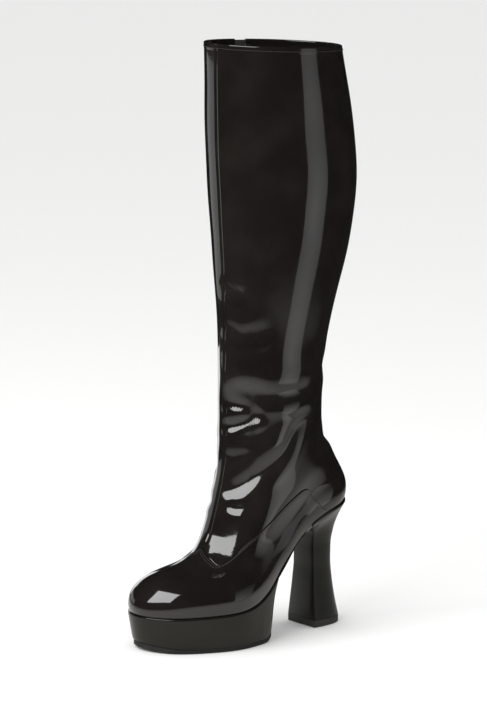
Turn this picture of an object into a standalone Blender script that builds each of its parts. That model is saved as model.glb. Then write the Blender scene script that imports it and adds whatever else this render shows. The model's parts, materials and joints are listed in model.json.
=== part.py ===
"""A left platform knee boot with a flared block heel and a zip on its inner side.

Frame: +Z up, the toe points along -Y, +X is the outer (lateral) side. The origin is on the floor
under the ball of the foot. Tables are in millimetres: d is the distance behind the toe tip.
"""

import math

import bmesh
import bpy
import numpy as np
from mathutils import Vector
from mathutils.bvhtree import BVHTree

MM = 0.001
BALL_D = 70.0          # origin, behind the toe tip
FOOT_LENGTH = 214.0    # toe tip to heel seat, in plan
OUTSIDE = 300.0        # a distance that is well outside the boot
WALL = 1.8             # leather and lining
SEAT_GAP = 0.35        # between pieces that are glued on the real boot
SEAM_STEP = 0.9        # the vamp lies on top of the shaft by this much
LEDGE = 1.3            # the platform stands proud of the upper
OUTSOLE_THICK = 3.8
INSOLE_THICK = 2.2
INSOLE_CLEAR = 0.7     # to the inside of the wall
INSOLE_LIFT = 0.05
INSOLE_HEEL = 9.0      # length of the insole's rounded heel end
INSOLE_SIDE = 0.75     # share of the end clearance that its sides keep
TIP_THICK = 6.0
TOE_SPRING = 4.5
TOE_LEAN = 3.4         # the platform's side leans in to its bottom edge

# The last's plan: centre line and fullness (half-width before the ends are rounded off)
PLAN = np.array([
    # d, centre_x, fullness
    (0.0, -7.0, 58.0),
    (10.0, -6.2, 58.5),
    (25.0, -4.6, 55.2),
    (45.0, -1.8, 50.9),
    (60.0, 0.6, 48.7),
    (78.0, 2.8, 44.7),
    (105.0, 4.0, 36.0),
    (130.0, 3.4, 30.5),
    (155.0, 1.2, 31.6),
    (180.0, 0.2, 40.2),
    (197.0, 0.0, 47.9),
    (214.0, 0.0, 49.0),
])

# Height of the feather line, where the upper meets the sole
SOLE = np.array([
    # d, z
    (-5.0, 31.2),
    (20.0, 31.2),
    (50.0, 31.8),
    (75.0, 33.0),
    (92.0, 36.5),
    (110.0, 46.0),
    (126.0, 61.5),
    (148.0, 85.0),
    (165.0, 97.5),
    (181.0, 105.0),
    (200.0, 109.5),
    (220.0, 111.4),
])

# Rings of the upper, from the feather edge to the collar. foot is the share of the foot's plan
# and sole curve in the ring, and bulge widens that plan.
RINGS = np.array([
    # front_d, front_z, back_d, back_z, half_oval, foot, bulge
    (2.0, 31.2, 213.0, 110.9, 36.0, 1.00, 1.00),     # feather
    (0.9, 36.0, 214.2, 114.5, 36.0, 1.00, 1.02),
    (1.5, 42.0, 215.0, 120.0, 36.0, 1.00, 1.03),
    (4.0, 48.5, 215.0, 124.5, 36.0, 0.98, 1.02),
    (10.0, 54.6, 214.2, 129.0, 36.0, 0.95, 0.99),
    (20.0, 59.8, 212.5, 133.5, 36.0, 0.90, 0.95),    # toe top
    (43.0, 64.2, 209.5, 139.0, 36.0, 0.80, 0.93),    # vamp
    (57.7, 72.0, 206.0, 144.5, 36.0, 0.70, 0.94),
    (66.0, 81.7, 202.0, 151.0, 36.0, 0.58, 0.97),    # throat
    (73.3, 96.3, 198.0, 158.0, 36.0, 0.42, 1.00),    # instep
    (81.2, 122.4, 192.5, 166.5, 36.0, 0.20, 1.00),
    (86.5, 140.4, 188.5, 176.5, 36.0, 0.06, 1.00),
    (89.2, 160.0, 187.0, 187.0, 36.0, 0.00, 1.00),   # ankle
    (89.4, 182.0, 187.2, 202.0, 36.0, 0.00, 1.00),
    (89.8, 215.0, 188.4, 224.0, 36.3, 0.00, 1.00),
    (90.0, 249.0, 191.0, 251.0, 37.2, 0.00, 1.00),   # lower calf
    (89.2, 296.0, 201.5, 296.0, 45.0, 0.00, 1.00),
    (87.2, 345.0, 213.0, 345.0, 54.0, 0.00, 1.00),
    (83.6, 396.0, 219.0, 397.0, 58.5, 0.00, 1.00),   # full calf
    (81.8, 446.0, 213.0, 446.0, 57.6, 0.00, 1.00),
    (81.3, 510.0, 201.0, 505.0, 55.5, 0.00, 1.00),   # collar
])
COLLAR_LEVEL = len(RINGS) - 1

# The vamp's top edge: its ring level at each angle round the boot, from the front to the back
VAMP_SEAM = np.array([
    # angle, level
    (0.0, 8.0),
    (20.0, 7.2),
    (36.0, 6.6),
    (46.0, 7.6),
    (58.0, 8.2),
    (83.0, 8.4),
    (100.0, 8.0),
    (108.0, 7.4),
    (120.0, 4.4),
    (131.0, 0.6),
    (180.0, 0.6),
])
SEAM_GONE = 0.6        # level at which the vamp's edge has run out at the heel
COLUMNS = 48
ROWS_BELOW_SEAM = 10
ROWS_ABOVE_SEAM = 28
SEAM_SHARPNESS = 0.12  # height of the step, in ring levels
SEAM_FADE = 3.0        # levels over which the step grows from the heel
SKIN_SHARP = 60.0      # degrees, shading only

# Underside of the platform block and of the shank tail. pinch narrows it at the bottom edge.
UNDERSIDE = np.array([
    # d, z, pinch
    (30.0, 0.0, 1.00),
    (55.0, 0.0, 1.00),
    (80.0, 0.0, 1.00),
    (100.0, 0.0, 1.00),
    (106.0, 0.0, 0.98),
    (110.5, 0.9, 0.96),
    (114.5, 3.2, 0.93),
    (117.6, 6.8, 0.89),
    (119.6, 11.4, 0.86),
    (120.7, 17.5, 0.84),
    (121.2, 26.0, 0.84),
    (121.8, 37.0, 0.86),
    (124.0, 45.5, 0.89),
    (128.0, 51.5, 0.92),
    (133.0, 57.8, 0.94),
    (140.0, 66.3, 0.95),
    (148.0, 74.8, 0.95),
    (156.0, 81.0, 0.95),
    (162.6, 85.2, 0.95),
])
TOE_STATIONS = 10
TOE_FIRST = 0.12       # share of the toe's quarter turn at its first station
TOE_END = 24.0
TOE_FADE = 45.0        # the toe's lean is gone this far back
LEDGE_RUN = 12.0       # the ledge grows to its full width over this run
SLIM_HALF = 20.0       # below this half-width the lean is taken in proportion
SIDE_LEAN = 0.55       # lean of the sides, as a share of the toe's
EDGE_INSET = 0.6       # scale of the inset column below
PLATFORM_SIDE = np.array([
    # share of the height from the top, inset
    (0.00, 0.7),
    (0.05, 0.0),
    (0.50, 0.35),
    (0.93, 1.00),
    (1.00, 1.9),
])
OUTSOLE_END = 117.6
OUTSOLE_INSET = 1.0
SOLE_EDGE = (0.4, 0.8)  # rounding of the outsole's lower edge: in, up

# Heel block: D-shaped sections from the bottom to just below the seat
HEEL = np.array([
    # front_z, back_z, breast_d, back_d, half_width
    (6.3, 6.3, 172.8, 209.4, 19.2),
    (20.0, 20.0, 173.3, 206.2, 17.4),
    (38.0, 38.0, 174.2, 203.2, 15.4),
    (55.0, 55.0, 175.0, 201.6, 14.2),
    (70.0, 70.0, 175.0, 202.0, 14.0),
    (79.0, 83.0, 174.2, 204.6, 15.2),
    (85.0, 93.0, 171.6, 207.8, 18.2),
    (88.5, 101.5, 167.0, 211.2, 22.6),
    (91.0, 107.0, 163.8, 213.6, 26.4),
])
HEEL_TOP_FRONT = 163.0
HEEL_TOP_BACK = 214.4
HEEL_ROUND = 2.4       # squareness of the heel's rounded back
HEEL_BACK_CUT = 0.985  # where the rounded back is closed with a narrow facet
HEEL_RIM = (0.4, 0.3, 1.6)  # seat rim: proud of the last, rounding in, rounding down
TIP_EDGE = (0.3, 0.8)  # rounding of the top piece's lower edge: in, up

# Zip on the inner side: a nearly upright line from above the arch to the collar
ZIP_BOTTOM = (134.8, 84.0)
ZIP_TOP = (147.0, 508.0)
ZIP_SLIT = 11.0
ZIP_CLEAR = 0.3
ZIP_ROWS = 27
ZIP_TOP_SHORT = 5.0    # the tape ends this far below the collar
SLIT_OVERRUN = 30.0    # the slit runs on past the collar
SLIT_REACH = 90.0      # how far the cut goes across the inner side
SLIT_START = 8.0       # and where it starts, from the boot's middle plane
ZIP_PROFILE = np.array([
    # across, height over the skin
    (-1.00, -0.9),
    (-0.44, -0.9),
    (-0.36, 0.0),
    (-0.16, 0.3),
    (0.16, 0.3),
    (0.36, 0.0),
    (0.44, -0.9),
    (1.00, -0.9),
    (1.00, -2.1),
    (-1.00, -2.1),
])

# Slider and pull tab, closed at the top
SLIDER_Z = 492.0
SLIDER_SIZE = (2.2, 7.6, 9.0)    # thick, wide, long
SLIDER_LIFT = 0.7                # skin to the slider's underside
SLIDER_EDGE = 0.5                # rounding
BRIDGE_SUNK = 0.4                # the posts' feet in the slider
BRIDGE_RADIUS = 0.8
BRIDGE_REACH = 2.35              # bridge axis over the slider's face
BRIDGE_POST = (1.1, 2.2)         # wide, long
BRIDGE_SPAN = 4.2                # between the posts
PULL_EYE_RADIUS = 1.9
PULL_EYE_BORE = 1.15
PULL_EYE_WIDTH = 3.5
PULL_NECK = (1.2, 3.4, 6.0)      # thick, wide, long
PULL_NECK_TOP = 1.45             # below the axis
PULL_PLATE = (1.2, 5.6, 14.0)    # thick, wide, long
PULL_PLATE_TOP = 5.0             # below the axis
ROUND_SIDES = 20


def smooth(table, x, column):
    """A table's column as a monotone cubic curve over the table's first column."""
    knots = table[:, 0]
    values = table[:, column]
    return monotone(knots, values, x)


def monotone(knots, values, x):
    """Monotone cubic through (knots, values) at x, level past either end."""
    width = np.diff(knots)
    slope = np.diff(values) / width
    tangent = np.zeros(len(knots))
    tangent[0] = slope[0]
    tangent[-1] = slope[-1]
    before = 2.0 * width[1:] + width[:-1]
    after = width[1:] + 2.0 * width[:-1]
    same = slope[1:] * slope[:-1] > 0.0
    first = np.where(same, slope[:-1], 1.0)
    second = np.where(same, slope[1:], 1.0)
    inner = (before + after) / (before / first + after / second)
    tangent[1:-1] = np.where(same, inner, 0.0)
    x = np.clip(np.asarray(x, float), knots[0], knots[-1])
    i = np.clip(np.searchsorted(knots, x) - 1, 0, len(knots) - 2)
    t = (x - knots[i]) / width[i]
    start = values[i] * (1.0 + 2.0 * t) * (1.0 - t) ** 2
    end = values[i + 1] * t * t * (3.0 - 2.0 * t)
    lean_start = tangent[i] * width[i] * t * (1.0 - t) ** 2
    lean_end = tangent[i + 1] * width[i] * t * t * (t - 1.0)
    return start + end + lean_start + lean_end


def sole_breaks(start, end):
    """Stations at which the upper's columns meet the sole, strictly between start and end."""
    turn = np.linspace(0.0, math.pi, COLUMNS // 2 + 1)
    front, back = RINGS[0, 0], RINGS[0, 2]
    breaks = front + (back - front) * (1.0 - np.cos(turn)) / 2.0
    return breaks[(breaks > start) & (breaks < end)]


def sole_z(d):
    """Feather line, faceted at the upper's columns so that every piece on it has the same facets."""
    breaks = sole_breaks(-1.0, FOOT_LENGTH)
    return np.interp(d, breaks, smooth(SOLE, breaks, 1))


def centre_x(d):
    return smooth(PLAN, d, 1)


def plan_half(d, front, back):
    """Half-width of the last's plan, rounded off at a front and a back end."""
    share = np.clip((np.asarray(d, float) - front) / (back - front), 0.0, 1.0)
    return smooth(PLAN, d, 2) * 2.0 * np.sqrt(share * (1.0 - share))


def world(x, d, z):
    return np.stack(np.broadcast_arrays(x, np.asarray(d) - BALL_D, z), axis=-1) * MM


def collection(name):
    made = bpy.data.collections.new(name)
    bpy.context.scene.collection.children.link(made)
    return made


def material(name, colour, roughness, metallic=0.0, coat=0.0):
    made = bpy.data.materials.new(name)
    made.use_nodes = True
    shader = made.node_tree.nodes["Principled BSDF"]
    shader.inputs["Base Color"].default_value = (*colour, 1.0)
    shader.inputs["Roughness"].default_value = roughness
    shader.inputs["Metallic"].default_value = metallic
    shader.inputs["Coat Weight"].default_value = coat
    return made


def mesh_object(name, points, faces, group, look, sharp_angle=35.0):
    """An object from a loft's points and faces, with smooth shading between soft edges."""
    mesh = bpy.data.meshes.new(name)
    mesh.from_pydata([tuple(p) for p in points], [], faces)
    mesh.update()
    mesh.shade_smooth()
    mesh.set_sharp_from_angle(angle=math.radians(sharp_angle))
    made = bpy.data.objects.new(name, mesh)
    group.objects.link(made)
    if look is not None:
        mesh.materials.append(look)
    return made


def face_out(made):
    shape = bmesh.new()
    shape.from_mesh(made.data)
    bmesh.ops.recalc_face_normals(shape, faces=shape.faces)
    shape.to_mesh(made.data)
    shape.free()


def rung_solid(name, loops, group, look, sharp_angle=35.0):
    """A closed stack of loops whose outer and inner sides share d and z, station by station.

    Each loop is (d, centre, half, z). The lowest and highest loops are closed with rungs that run
    straight across, so a curved sole stays a single curved sheet.
    """
    stations = len(loops[0][0])
    points = []
    for d, centre, half, z in loops:
        points.append(world(centre + half, d, z))
        points.append(world(centre - half, d, z)[::-1])
    points = np.concatenate(points)
    around = 2 * stations
    faces = []
    for level in range(len(loops) - 1):
        low = level * around
        high = low + around
        for i in range(around):
            j = (i + 1) % around
            faces.append((low + i, low + j, high + j, high + i))
    for start in (0, (len(loops) - 1) * around):
        for i in range(stations - 1):
            left = start + around - 1 - i
            faces.append((start + i, start + i + 1, left - 1, left))
    made = mesh_object(name, points, faces, group, look, sharp_angle)
    face_out(made)
    return made


def ring_point(angle, level):
    """The upper's outer skin at an angle round the boot (0 front, 90 outer side) and a ring level."""
    levels = np.arange(len(RINGS), dtype=float)
    row = [monotone(levels, RINGS[:, k], level) for k in range(RINGS.shape[1])]
    front_d, front_z, back_d, back_z, oval, foot, bulge = row
    run = (1.0 - np.cos(angle)) / 2.0
    d = front_d + (back_d - front_d) * run
    over_front = front_z - sole_z(front_d)
    over_back = back_z - sole_z(back_d)
    on_sole = sole_z(d) + over_front + (over_back - over_front) * run
    level_z = front_z + (back_z - front_z) * run
    z = foot * on_sole + (1.0 - foot) * level_z
    half = (foot * smooth(PLAN, d, 2) + (1.0 - foot) * oval) * bulge
    x = foot * centre_x(d) + half * np.sin(angle)
    return np.stack([x, d, z], axis=-1)


def upper_grid():
    """Points of the outer skin: one column per angle, with a row on each side of the vamp's edge."""
    angle = np.arange(COLUMNS) * (2.0 * math.pi / COLUMNS)
    from_front = np.degrees(np.minimum(angle, 2.0 * math.pi - angle))
    seam = smooth(VAMP_SEAM, from_front, 1)
    below = np.linspace(0.0, 1.0, ROWS_BELOW_SEAM + 1)[:, None] * seam
    above_start = seam + SEAM_SHARPNESS
    rise = np.linspace(0.0, 1.0, ROWS_ABOVE_SEAM)[:, None]
    above = above_start + (COLLAR_LEVEL - above_start) * rise
    level = np.concatenate([below, above])
    grid = ring_point(np.broadcast_to(angle, level.shape), level)
    along = np.roll(grid, -1, axis=1) - np.roll(grid, 1, axis=1)
    upward = np.gradient(grid, axis=0)
    normal = np.cross(along, upward)
    normal /= np.linalg.norm(normal, axis=-1, keepdims=True)
    raised = np.zeros(level.shape)
    raised[: ROWS_BELOW_SEAM + 1] = np.linspace(0.0, 1.0, ROWS_BELOW_SEAM + 1)[:, None] ** 2
    raised *= np.clip((seam - SEAM_GONE) / SEAM_FADE, 0.0, 1.0)
    return grid + normal * (raised * SEAM_STEP)[..., None]


def build_upper(group, look):
    grid = upper_grid()
    rows, columns = grid.shape[:2]
    points = world(grid[..., 0], grid[..., 1], grid[..., 2]).reshape(-1, 3)
    faces = []
    for r in range(rows - 1):
        for c in range(columns):
            n = (c + 1) % columns
            faces.append((r * columns + c, r * columns + n, (r + 1) * columns + n, (r + 1) * columns + c))
    upper = mesh_object("upper", points, faces, group, look, SKIN_SHARP)
    face_out(upper)
    wall = upper.modifiers.new("wall", "SOLIDIFY")
    wall.thickness = WALL * MM
    wall.offset = -1.0
    wall.use_even_offset = True
    return upper


def skin_of(upper):
    """The outer skin alone, for pieces that lie on it."""
    shape = bmesh.new()
    shape.from_mesh(upper.data)
    tree = BVHTree.FromBMesh(shape)
    shape.free()
    return tree


def inner_skin(tree, d, z):
    """Point and outward normal of the skin on the inner side at (d, z)."""
    start = Vector((-OUTSIDE * MM, (d - BALL_D) * MM, z * MM))
    point, normal, _, _ = tree.ray_cast(start, Vector((1.0, 0.0, 0.0)))
    if normal.x > 0.0:
        normal = -normal
    return point, normal


def zip_d(z):
    share = (z - ZIP_BOTTOM[1]) / (ZIP_TOP[1] - ZIP_BOTTOM[1])
    return ZIP_BOTTOM[0] + (ZIP_TOP[0] - ZIP_BOTTOM[0]) * share


def cut_zip_slit(upper, cutters):
    """The slit that the zip lies in, open at the collar."""
    run_d = ZIP_TOP[0] - ZIP_BOTTOM[0]
    run_z = ZIP_TOP[1] - ZIP_BOTTOM[1]
    lean = math.atan2(run_d, run_z)
    length = math.hypot(run_d, run_z) + SLIT_OVERRUN
    middle = length / 2.0
    bpy.ops.mesh.primitive_cube_add(size=1.0)
    slit = bpy.context.object
    slit.name = "zip_slit"
    slit.scale = (SLIT_REACH * MM, ZIP_SLIT * MM, length * MM)
    slit.rotation_euler = (-lean, 0.0, 0.0)
    slit.location = (
        -(SLIT_REACH / 2.0 + SLIT_START) * MM,
        (ZIP_BOTTOM[0] + math.sin(lean) * middle - BALL_D) * MM,
        (ZIP_BOTTOM[1] + math.cos(lean) * middle) * MM,
    )
    bpy.ops.object.transform_apply(location=False, rotation=False, scale=True)
    move_to(slit, cutters)
    slit.hide_render = True
    slit.display_type = "WIRE"
    cut = upper.modifiers.new("zip_slit", "BOOLEAN")
    cut.operation = "DIFFERENCE"
    cut.object = slit


def build_zip(tree, group, look):
    """Tape and coil as one strip that follows the upper's skin inside the slit."""
    half = ZIP_SLIT / 2.0 - ZIP_CLEAR
    low = ZIP_BOTTOM[1] + ZIP_CLEAR
    high = ZIP_TOP[1] - ZIP_TOP_SHORT
    points = []
    for z in np.linspace(low, high, ZIP_ROWS):
        for across, height in ZIP_PROFILE:
            point, normal = inner_skin(tree, zip_d(z) + across * half, z)
            points.append(point + normal * (height * MM))
    around = len(ZIP_PROFILE)
    faces = []
    for r in range(ZIP_ROWS - 1):
        for i in range(around):
            j = (i + 1) % around
            faces.append((r * around + i, r * around + j, (r + 1) * around + j, (r + 1) * around + i))
    faces.append(tuple(range(around)))
    faces.append(tuple(range((ZIP_ROWS - 1) * around, ZIP_ROWS * around)))
    made = mesh_object("zip", points, faces, group, look)
    face_out(made)
    return made


def move_to(made, group):
    for old in list(made.users_collection):
        old.objects.unlink(made)
    group.objects.link(made)


def box(name, size, location, group):
    bpy.ops.mesh.primitive_cube_add(size=1.0, location=location)
    made = bpy.context.object
    made.name = name
    made.scale = [side * MM for side in size]
    bpy.ops.object.transform_apply(location=False, rotation=False, scale=True)
    move_to(made, group)
    return made


def cross_rod(name, radius, length, location, group):
    """A round rod along Y."""
    bpy.ops.mesh.primitive_cylinder_add(
        vertices=ROUND_SIDES,
        radius=radius * MM,
        depth=length * MM,
        location=location,
        rotation=(math.pi / 2.0, 0.0, 0.0),
    )
    made = bpy.context.object
    made.name = name
    move_to(made, group)
    return made


def combine(made, other, operation):
    other.hide_render = True
    other.display_type = "WIRE"
    step = made.modifiers.new(other.name, "BOOLEAN")
    step.operation = operation
    step.object = other


def build_slider_and_pull(tree, group, cutters, slider_look, pull_look):
    """Slider astride the coil, with a bridge that the pull tab's eye turns on."""
    thick, wide, long = SLIDER_SIZE
    skin, _ = inner_skin(tree, zip_d(SLIDER_Z), SLIDER_Z)
    y = skin.y
    z = SLIDER_Z * MM
    face_x = skin.x - (SLIDER_LIFT + thick) * MM
    axis_x = face_x - BRIDGE_REACH * MM
    slider = box("zip_slider", SLIDER_SIZE, (face_x + thick * MM / 2.0, y, z), group)
    slider.data.materials.append(slider_look)
    edge = slider.modifiers.new("edge", "BEVEL")
    edge.width = SLIDER_EDGE * MM
    edge.segments = 2
    post_wide, post_long = BRIDGE_POST
    post_reach = BRIDGE_REACH + BRIDGE_RADIUS
    for side in (-1.0, 1.0):
        centre_y = y + side * (BRIDGE_SPAN + post_wide) / 2.0 * MM
        post = box(
            "bridge_post_front" if side < 0.0 else "bridge_post_back",
            (post_reach + BRIDGE_SUNK, post_wide, post_long),
            (face_x + (BRIDGE_SUNK - post_reach) / 2.0 * MM, centre_y, z),
            cutters,
        )
        combine(slider, post, "UNION")
    bridge = cross_rod("bridge", BRIDGE_RADIUS, BRIDGE_SPAN + post_wide, (axis_x, y, z), cutters)
    combine(slider, bridge, "UNION")

    pull = cross_rod("zip_pull", PULL_EYE_RADIUS, PULL_EYE_WIDTH, (axis_x, y, z), group)
    pull.data.materials.append(pull_look)
    neck_z = z - (PULL_NECK_TOP + PULL_NECK[2] / 2.0) * MM
    plate_z = z - (PULL_PLATE_TOP + PULL_PLATE[2] / 2.0) * MM
    neck = box("pull_neck", PULL_NECK, (axis_x, y, neck_z), cutters)
    plate = box("pull_plate", PULL_PLATE, (axis_x, y, plate_z), cutters)
    bore_long = PULL_EYE_WIDTH + 2.0 * BRIDGE_POST[0]
    bore = cross_rod("pull_bore", PULL_EYE_BORE, bore_long, (axis_x, y, z), cutters)
    combine(pull, neck, "UNION")
    combine(pull, plate, "UNION")
    combine(pull, bore, "DIFFERENCE")


def toe_stations(front, end):
    """Stations that crowd together at a rounded front end."""
    turn = np.linspace(TOE_FIRST, 1.0, TOE_STATIONS) * math.pi / 2.0
    return front + (end - front) * (1.0 - np.cos(turn))


def toe_rise(d):
    """Toe spring: the sole's bottom curves up in front of the ball."""
    return TOE_SPRING * np.clip(1.0 - np.asarray(d, float) / UNDERSIDE[0, 0], 0.0, 1.0) ** 2


def underside_z(d):
    """Lowest line of the sole: sprung at the toe, flat under the ball and rounded up at the back."""
    return np.where(d < UNDERSIDE[0, 0], 0.0, smooth(UNDERSIDE, d, 1)) + toe_rise(d)


def arch_stations():
    """Stations behind the toe, with one at each row of the table and at each facet of the sole."""
    return np.union1d(UNDERSIDE[:, 0], sole_breaks(TOE_END, UNDERSIDE[-1, 0]))


def toe_shift(d, amount):
    """Moves the front of a loop back by an amount that fades out behind the toe."""
    return amount * np.clip(1.0 - np.asarray(d, float) / TOE_FADE, 0.0, 1.0)


def build_platform(group, look):
    """Covered platform block under the forefoot, and its tail up the arch to the heel."""
    front = RINGS[0, 0] - LEDGE
    d = np.concatenate([toe_stations(front, TOE_END), arch_stations()])
    top = sole_z(d) - SEAT_GAP
    bottom = underside_z(d) + OUTSOLE_THICK + SEAT_GAP
    pinch = np.where(d < UNDERSIDE[0, 0], 1.0, smooth(UNDERSIDE, d, 2))
    half = plan_half(d, front, FOOT_LENGTH) + LEDGE * np.clip((d - front) / LEDGE_RUN, 0.0, 1.0)
    loops = []
    for share, inset in PLATFORM_SIDE[::-1]:
        narrowed = half * (1.0 - share * (1.0 - pinch))
        slope = TOE_LEAN * share
        inset = inset * EDGE_INSET
        drawn_in = (slope * SIDE_LEAN + inset) * np.clip(half / SLIM_HALF, 0.0, 1.0)
        moved = d + toe_shift(d, slope + inset)
        loops.append((moved, centre_x(d), narrowed - drawn_in, top + (bottom - top) * share))
    return rung_solid("platform", loops, group, look, 40.0)


def build_outsole(group, look):
    """Rubber sheet under the platform, which follows its underside to the rounded back."""
    front = RINGS[0, 0] - LEDGE + TOE_LEAN
    arch = arch_stations()
    arch = arch[(arch > TOE_END) & (arch < OUTSOLE_END)]
    d = np.concatenate([toe_stations(front, TOE_END), arch, [OUTSOLE_END]])
    pinch = np.where(d < UNDERSIDE[0, 0], 1.0, smooth(UNDERSIDE, d, 2))
    half = plan_half(d, front, FOOT_LENGTH) * pinch - OUTSOLE_INSET
    low = underside_z(d)
    loops = [
        (d, centre_x(d), half - SOLE_EDGE[0], low),
        (d, centre_x(d), half, low + SOLE_EDGE[1]),
        (d, centre_x(d), half, low + OUTSOLE_THICK),
    ]
    return rung_solid("outsole", loops, group, look)


def build_insole(group, look):
    """Board and sock that close the upper underneath, inside its wall."""
    inside = WALL + INSOLE_CLEAR
    front = RINGS[0, 0] + inside
    back = RINGS[0, 2] - inside
    heel = back - toe_stations(0.0, INSOLE_HEEL)[::-1]
    arch = sole_breaks(TOE_END, heel[0] - 1.0)
    d = np.concatenate([toe_stations(front, TOE_END), arch, heel])
    half = plan_half(d, front, back) - inside * INSOLE_SIDE
    low = sole_z(d) + INSOLE_LIFT
    loops = [
        (d, centre_x(d), half, low),
        (d, centre_x(d), half, low + INSOLE_THICK),
    ]
    return rung_solid("insole", loops, group, look)


def heel_stations():
    """Shares of the heel's depth, from its breast to its back, with one at each facet of the sole."""
    depth = HEEL_TOP_BACK - HEEL_TOP_FRONT
    facets = (sole_breaks(HEEL_TOP_FRONT, HEEL_TOP_BACK - 1.5) - HEEL_TOP_FRONT) / depth
    facets = np.concatenate([[0.0], facets, [HEEL_BACK_CUT]])
    halfway = (facets[:-3] + facets[1:-2]) / 2.0
    return np.union1d(facets, halfway)


def heel_round(share):
    return (1.0 - share**HEEL_ROUND) ** (1.0 / HEEL_ROUND)


def build_heel(group, look):
    """Block heel: a cupped seat that narrows to a D-shaped waist and flares at the floor."""
    share = heel_stations()
    loops = []
    for front_z, back_z, breast, back, half in HEEL:
        d = breast + (back - breast) * share
        loops.append((d, np.zeros_like(d), half * heel_round(share), front_z + (back_z - front_z) * share))
    d = HEEL_TOP_FRONT + (HEEL_TOP_BACK - HEEL_TOP_FRONT) * share
    proud, round_in, round_down = HEEL_RIM
    seat = plan_half(d, 0.0, HEEL_TOP_BACK) + proud
    top = sole_z(d) - SEAT_GAP
    loops.append((d, centre_x(d), seat, top - round_down))
    loops.append((d, centre_x(d), seat - round_in, top))
    return rung_solid("heel", loops, group, look, 40.0)


def build_heel_tip(group, look):
    """Rubber top piece on the floor."""
    share = heel_stations()
    _, _, breast, back, half = HEEL[0]
    d = breast + (back - breast) * share
    outline = half * heel_round(share)
    loops = [
        (d, np.zeros_like(d), outline - TIP_EDGE[0], np.zeros_like(d)),
        (d, np.zeros_like(d), outline, np.full_like(d, TIP_EDGE[1])),
        (d, np.zeros_like(d), outline, np.full_like(d, TIP_THICK)),
    ]
    return rung_solid("heel_tip", loops, group, look)


def main():
    for old in list(bpy.data.objects):
        bpy.data.objects.remove(old)
    boot = collection("platform_boot")
    cutters = collection("cutters")
    patent = material("upper_patent", (0.012, 0.012, 0.012), 0.12, coat=1.0)
    cover = material("platform_cover", (0.014, 0.014, 0.013), 0.18, coat=0.8)
    heel_cover = material("heel_cover", (0.016, 0.016, 0.015), 0.25, coat=0.5)
    rubber = material("outsole_rubber", (0.02, 0.02, 0.02), 0.7)
    tip_rubber = material("tip_rubber", (0.02, 0.02, 0.02), 0.75)
    sock = material("insole_sock", (0.03, 0.028, 0.027), 0.8)
    tape = material("zip_tape", (0.012, 0.012, 0.012), 0.6)
    slider_metal = material("slider_metal", (0.05, 0.05, 0.05), 0.35, metallic=1.0)
    pull_metal = material("pull_metal", (0.05, 0.05, 0.05), 0.35, metallic=1.0)

    upper = build_upper(boot, patent)
    skin = skin_of(upper)
    cut_zip_slit(upper, cutters)
    build_insole(boot, sock)
    build_platform(boot, cover)
    build_outsole(boot, rubber)
    build_heel(boot, heel_cover)
    build_heel_tip(boot, tip_rubber)
    build_zip(skin, boot, tape)
    build_slider_and_pull(skin, boot, cutters, slider_metal, pull_metal)


main()
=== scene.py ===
"""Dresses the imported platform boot: a glossy worn upper, covered platform and heel, zip and stitches.

Tables are in millimetres in the boot's own frame: d runs back from the toe tip, z up from the floor
and x to the outer side. An angle goes round the boot from the front (0) over the outer side (90) to
the back (180) and the inner side (270). A level counts the upper's rings from the sole to the collar.
"""

import json
import logging
import math
from dataclasses import dataclass, field
from enum import Enum

import bmesh
import bpy
import numpy as np
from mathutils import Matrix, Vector

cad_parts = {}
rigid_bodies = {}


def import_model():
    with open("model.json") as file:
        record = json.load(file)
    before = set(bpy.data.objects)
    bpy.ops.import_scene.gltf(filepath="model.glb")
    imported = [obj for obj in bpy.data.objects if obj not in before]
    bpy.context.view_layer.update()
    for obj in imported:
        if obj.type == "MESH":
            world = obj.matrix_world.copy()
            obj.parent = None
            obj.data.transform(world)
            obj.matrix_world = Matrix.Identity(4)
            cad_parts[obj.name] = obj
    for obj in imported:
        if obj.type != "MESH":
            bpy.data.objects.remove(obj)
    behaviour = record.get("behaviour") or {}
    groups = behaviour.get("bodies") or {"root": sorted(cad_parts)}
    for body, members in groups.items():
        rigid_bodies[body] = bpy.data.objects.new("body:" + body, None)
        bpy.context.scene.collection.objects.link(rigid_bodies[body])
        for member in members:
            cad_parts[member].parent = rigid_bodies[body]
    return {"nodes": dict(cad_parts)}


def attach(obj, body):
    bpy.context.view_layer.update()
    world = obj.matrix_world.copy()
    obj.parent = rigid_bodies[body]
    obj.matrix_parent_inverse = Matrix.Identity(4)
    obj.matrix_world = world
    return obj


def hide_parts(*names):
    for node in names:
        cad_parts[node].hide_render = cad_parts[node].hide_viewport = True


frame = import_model()

Array = np.ndarray
# metres in a millimetre, and the d of the frame's origin under the ball of the foot
MM = 0.001
BALL_D = 70.0
# the body that every new piece rides on
BODY = "boot"
log = logging.getLogger("boot")

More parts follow.
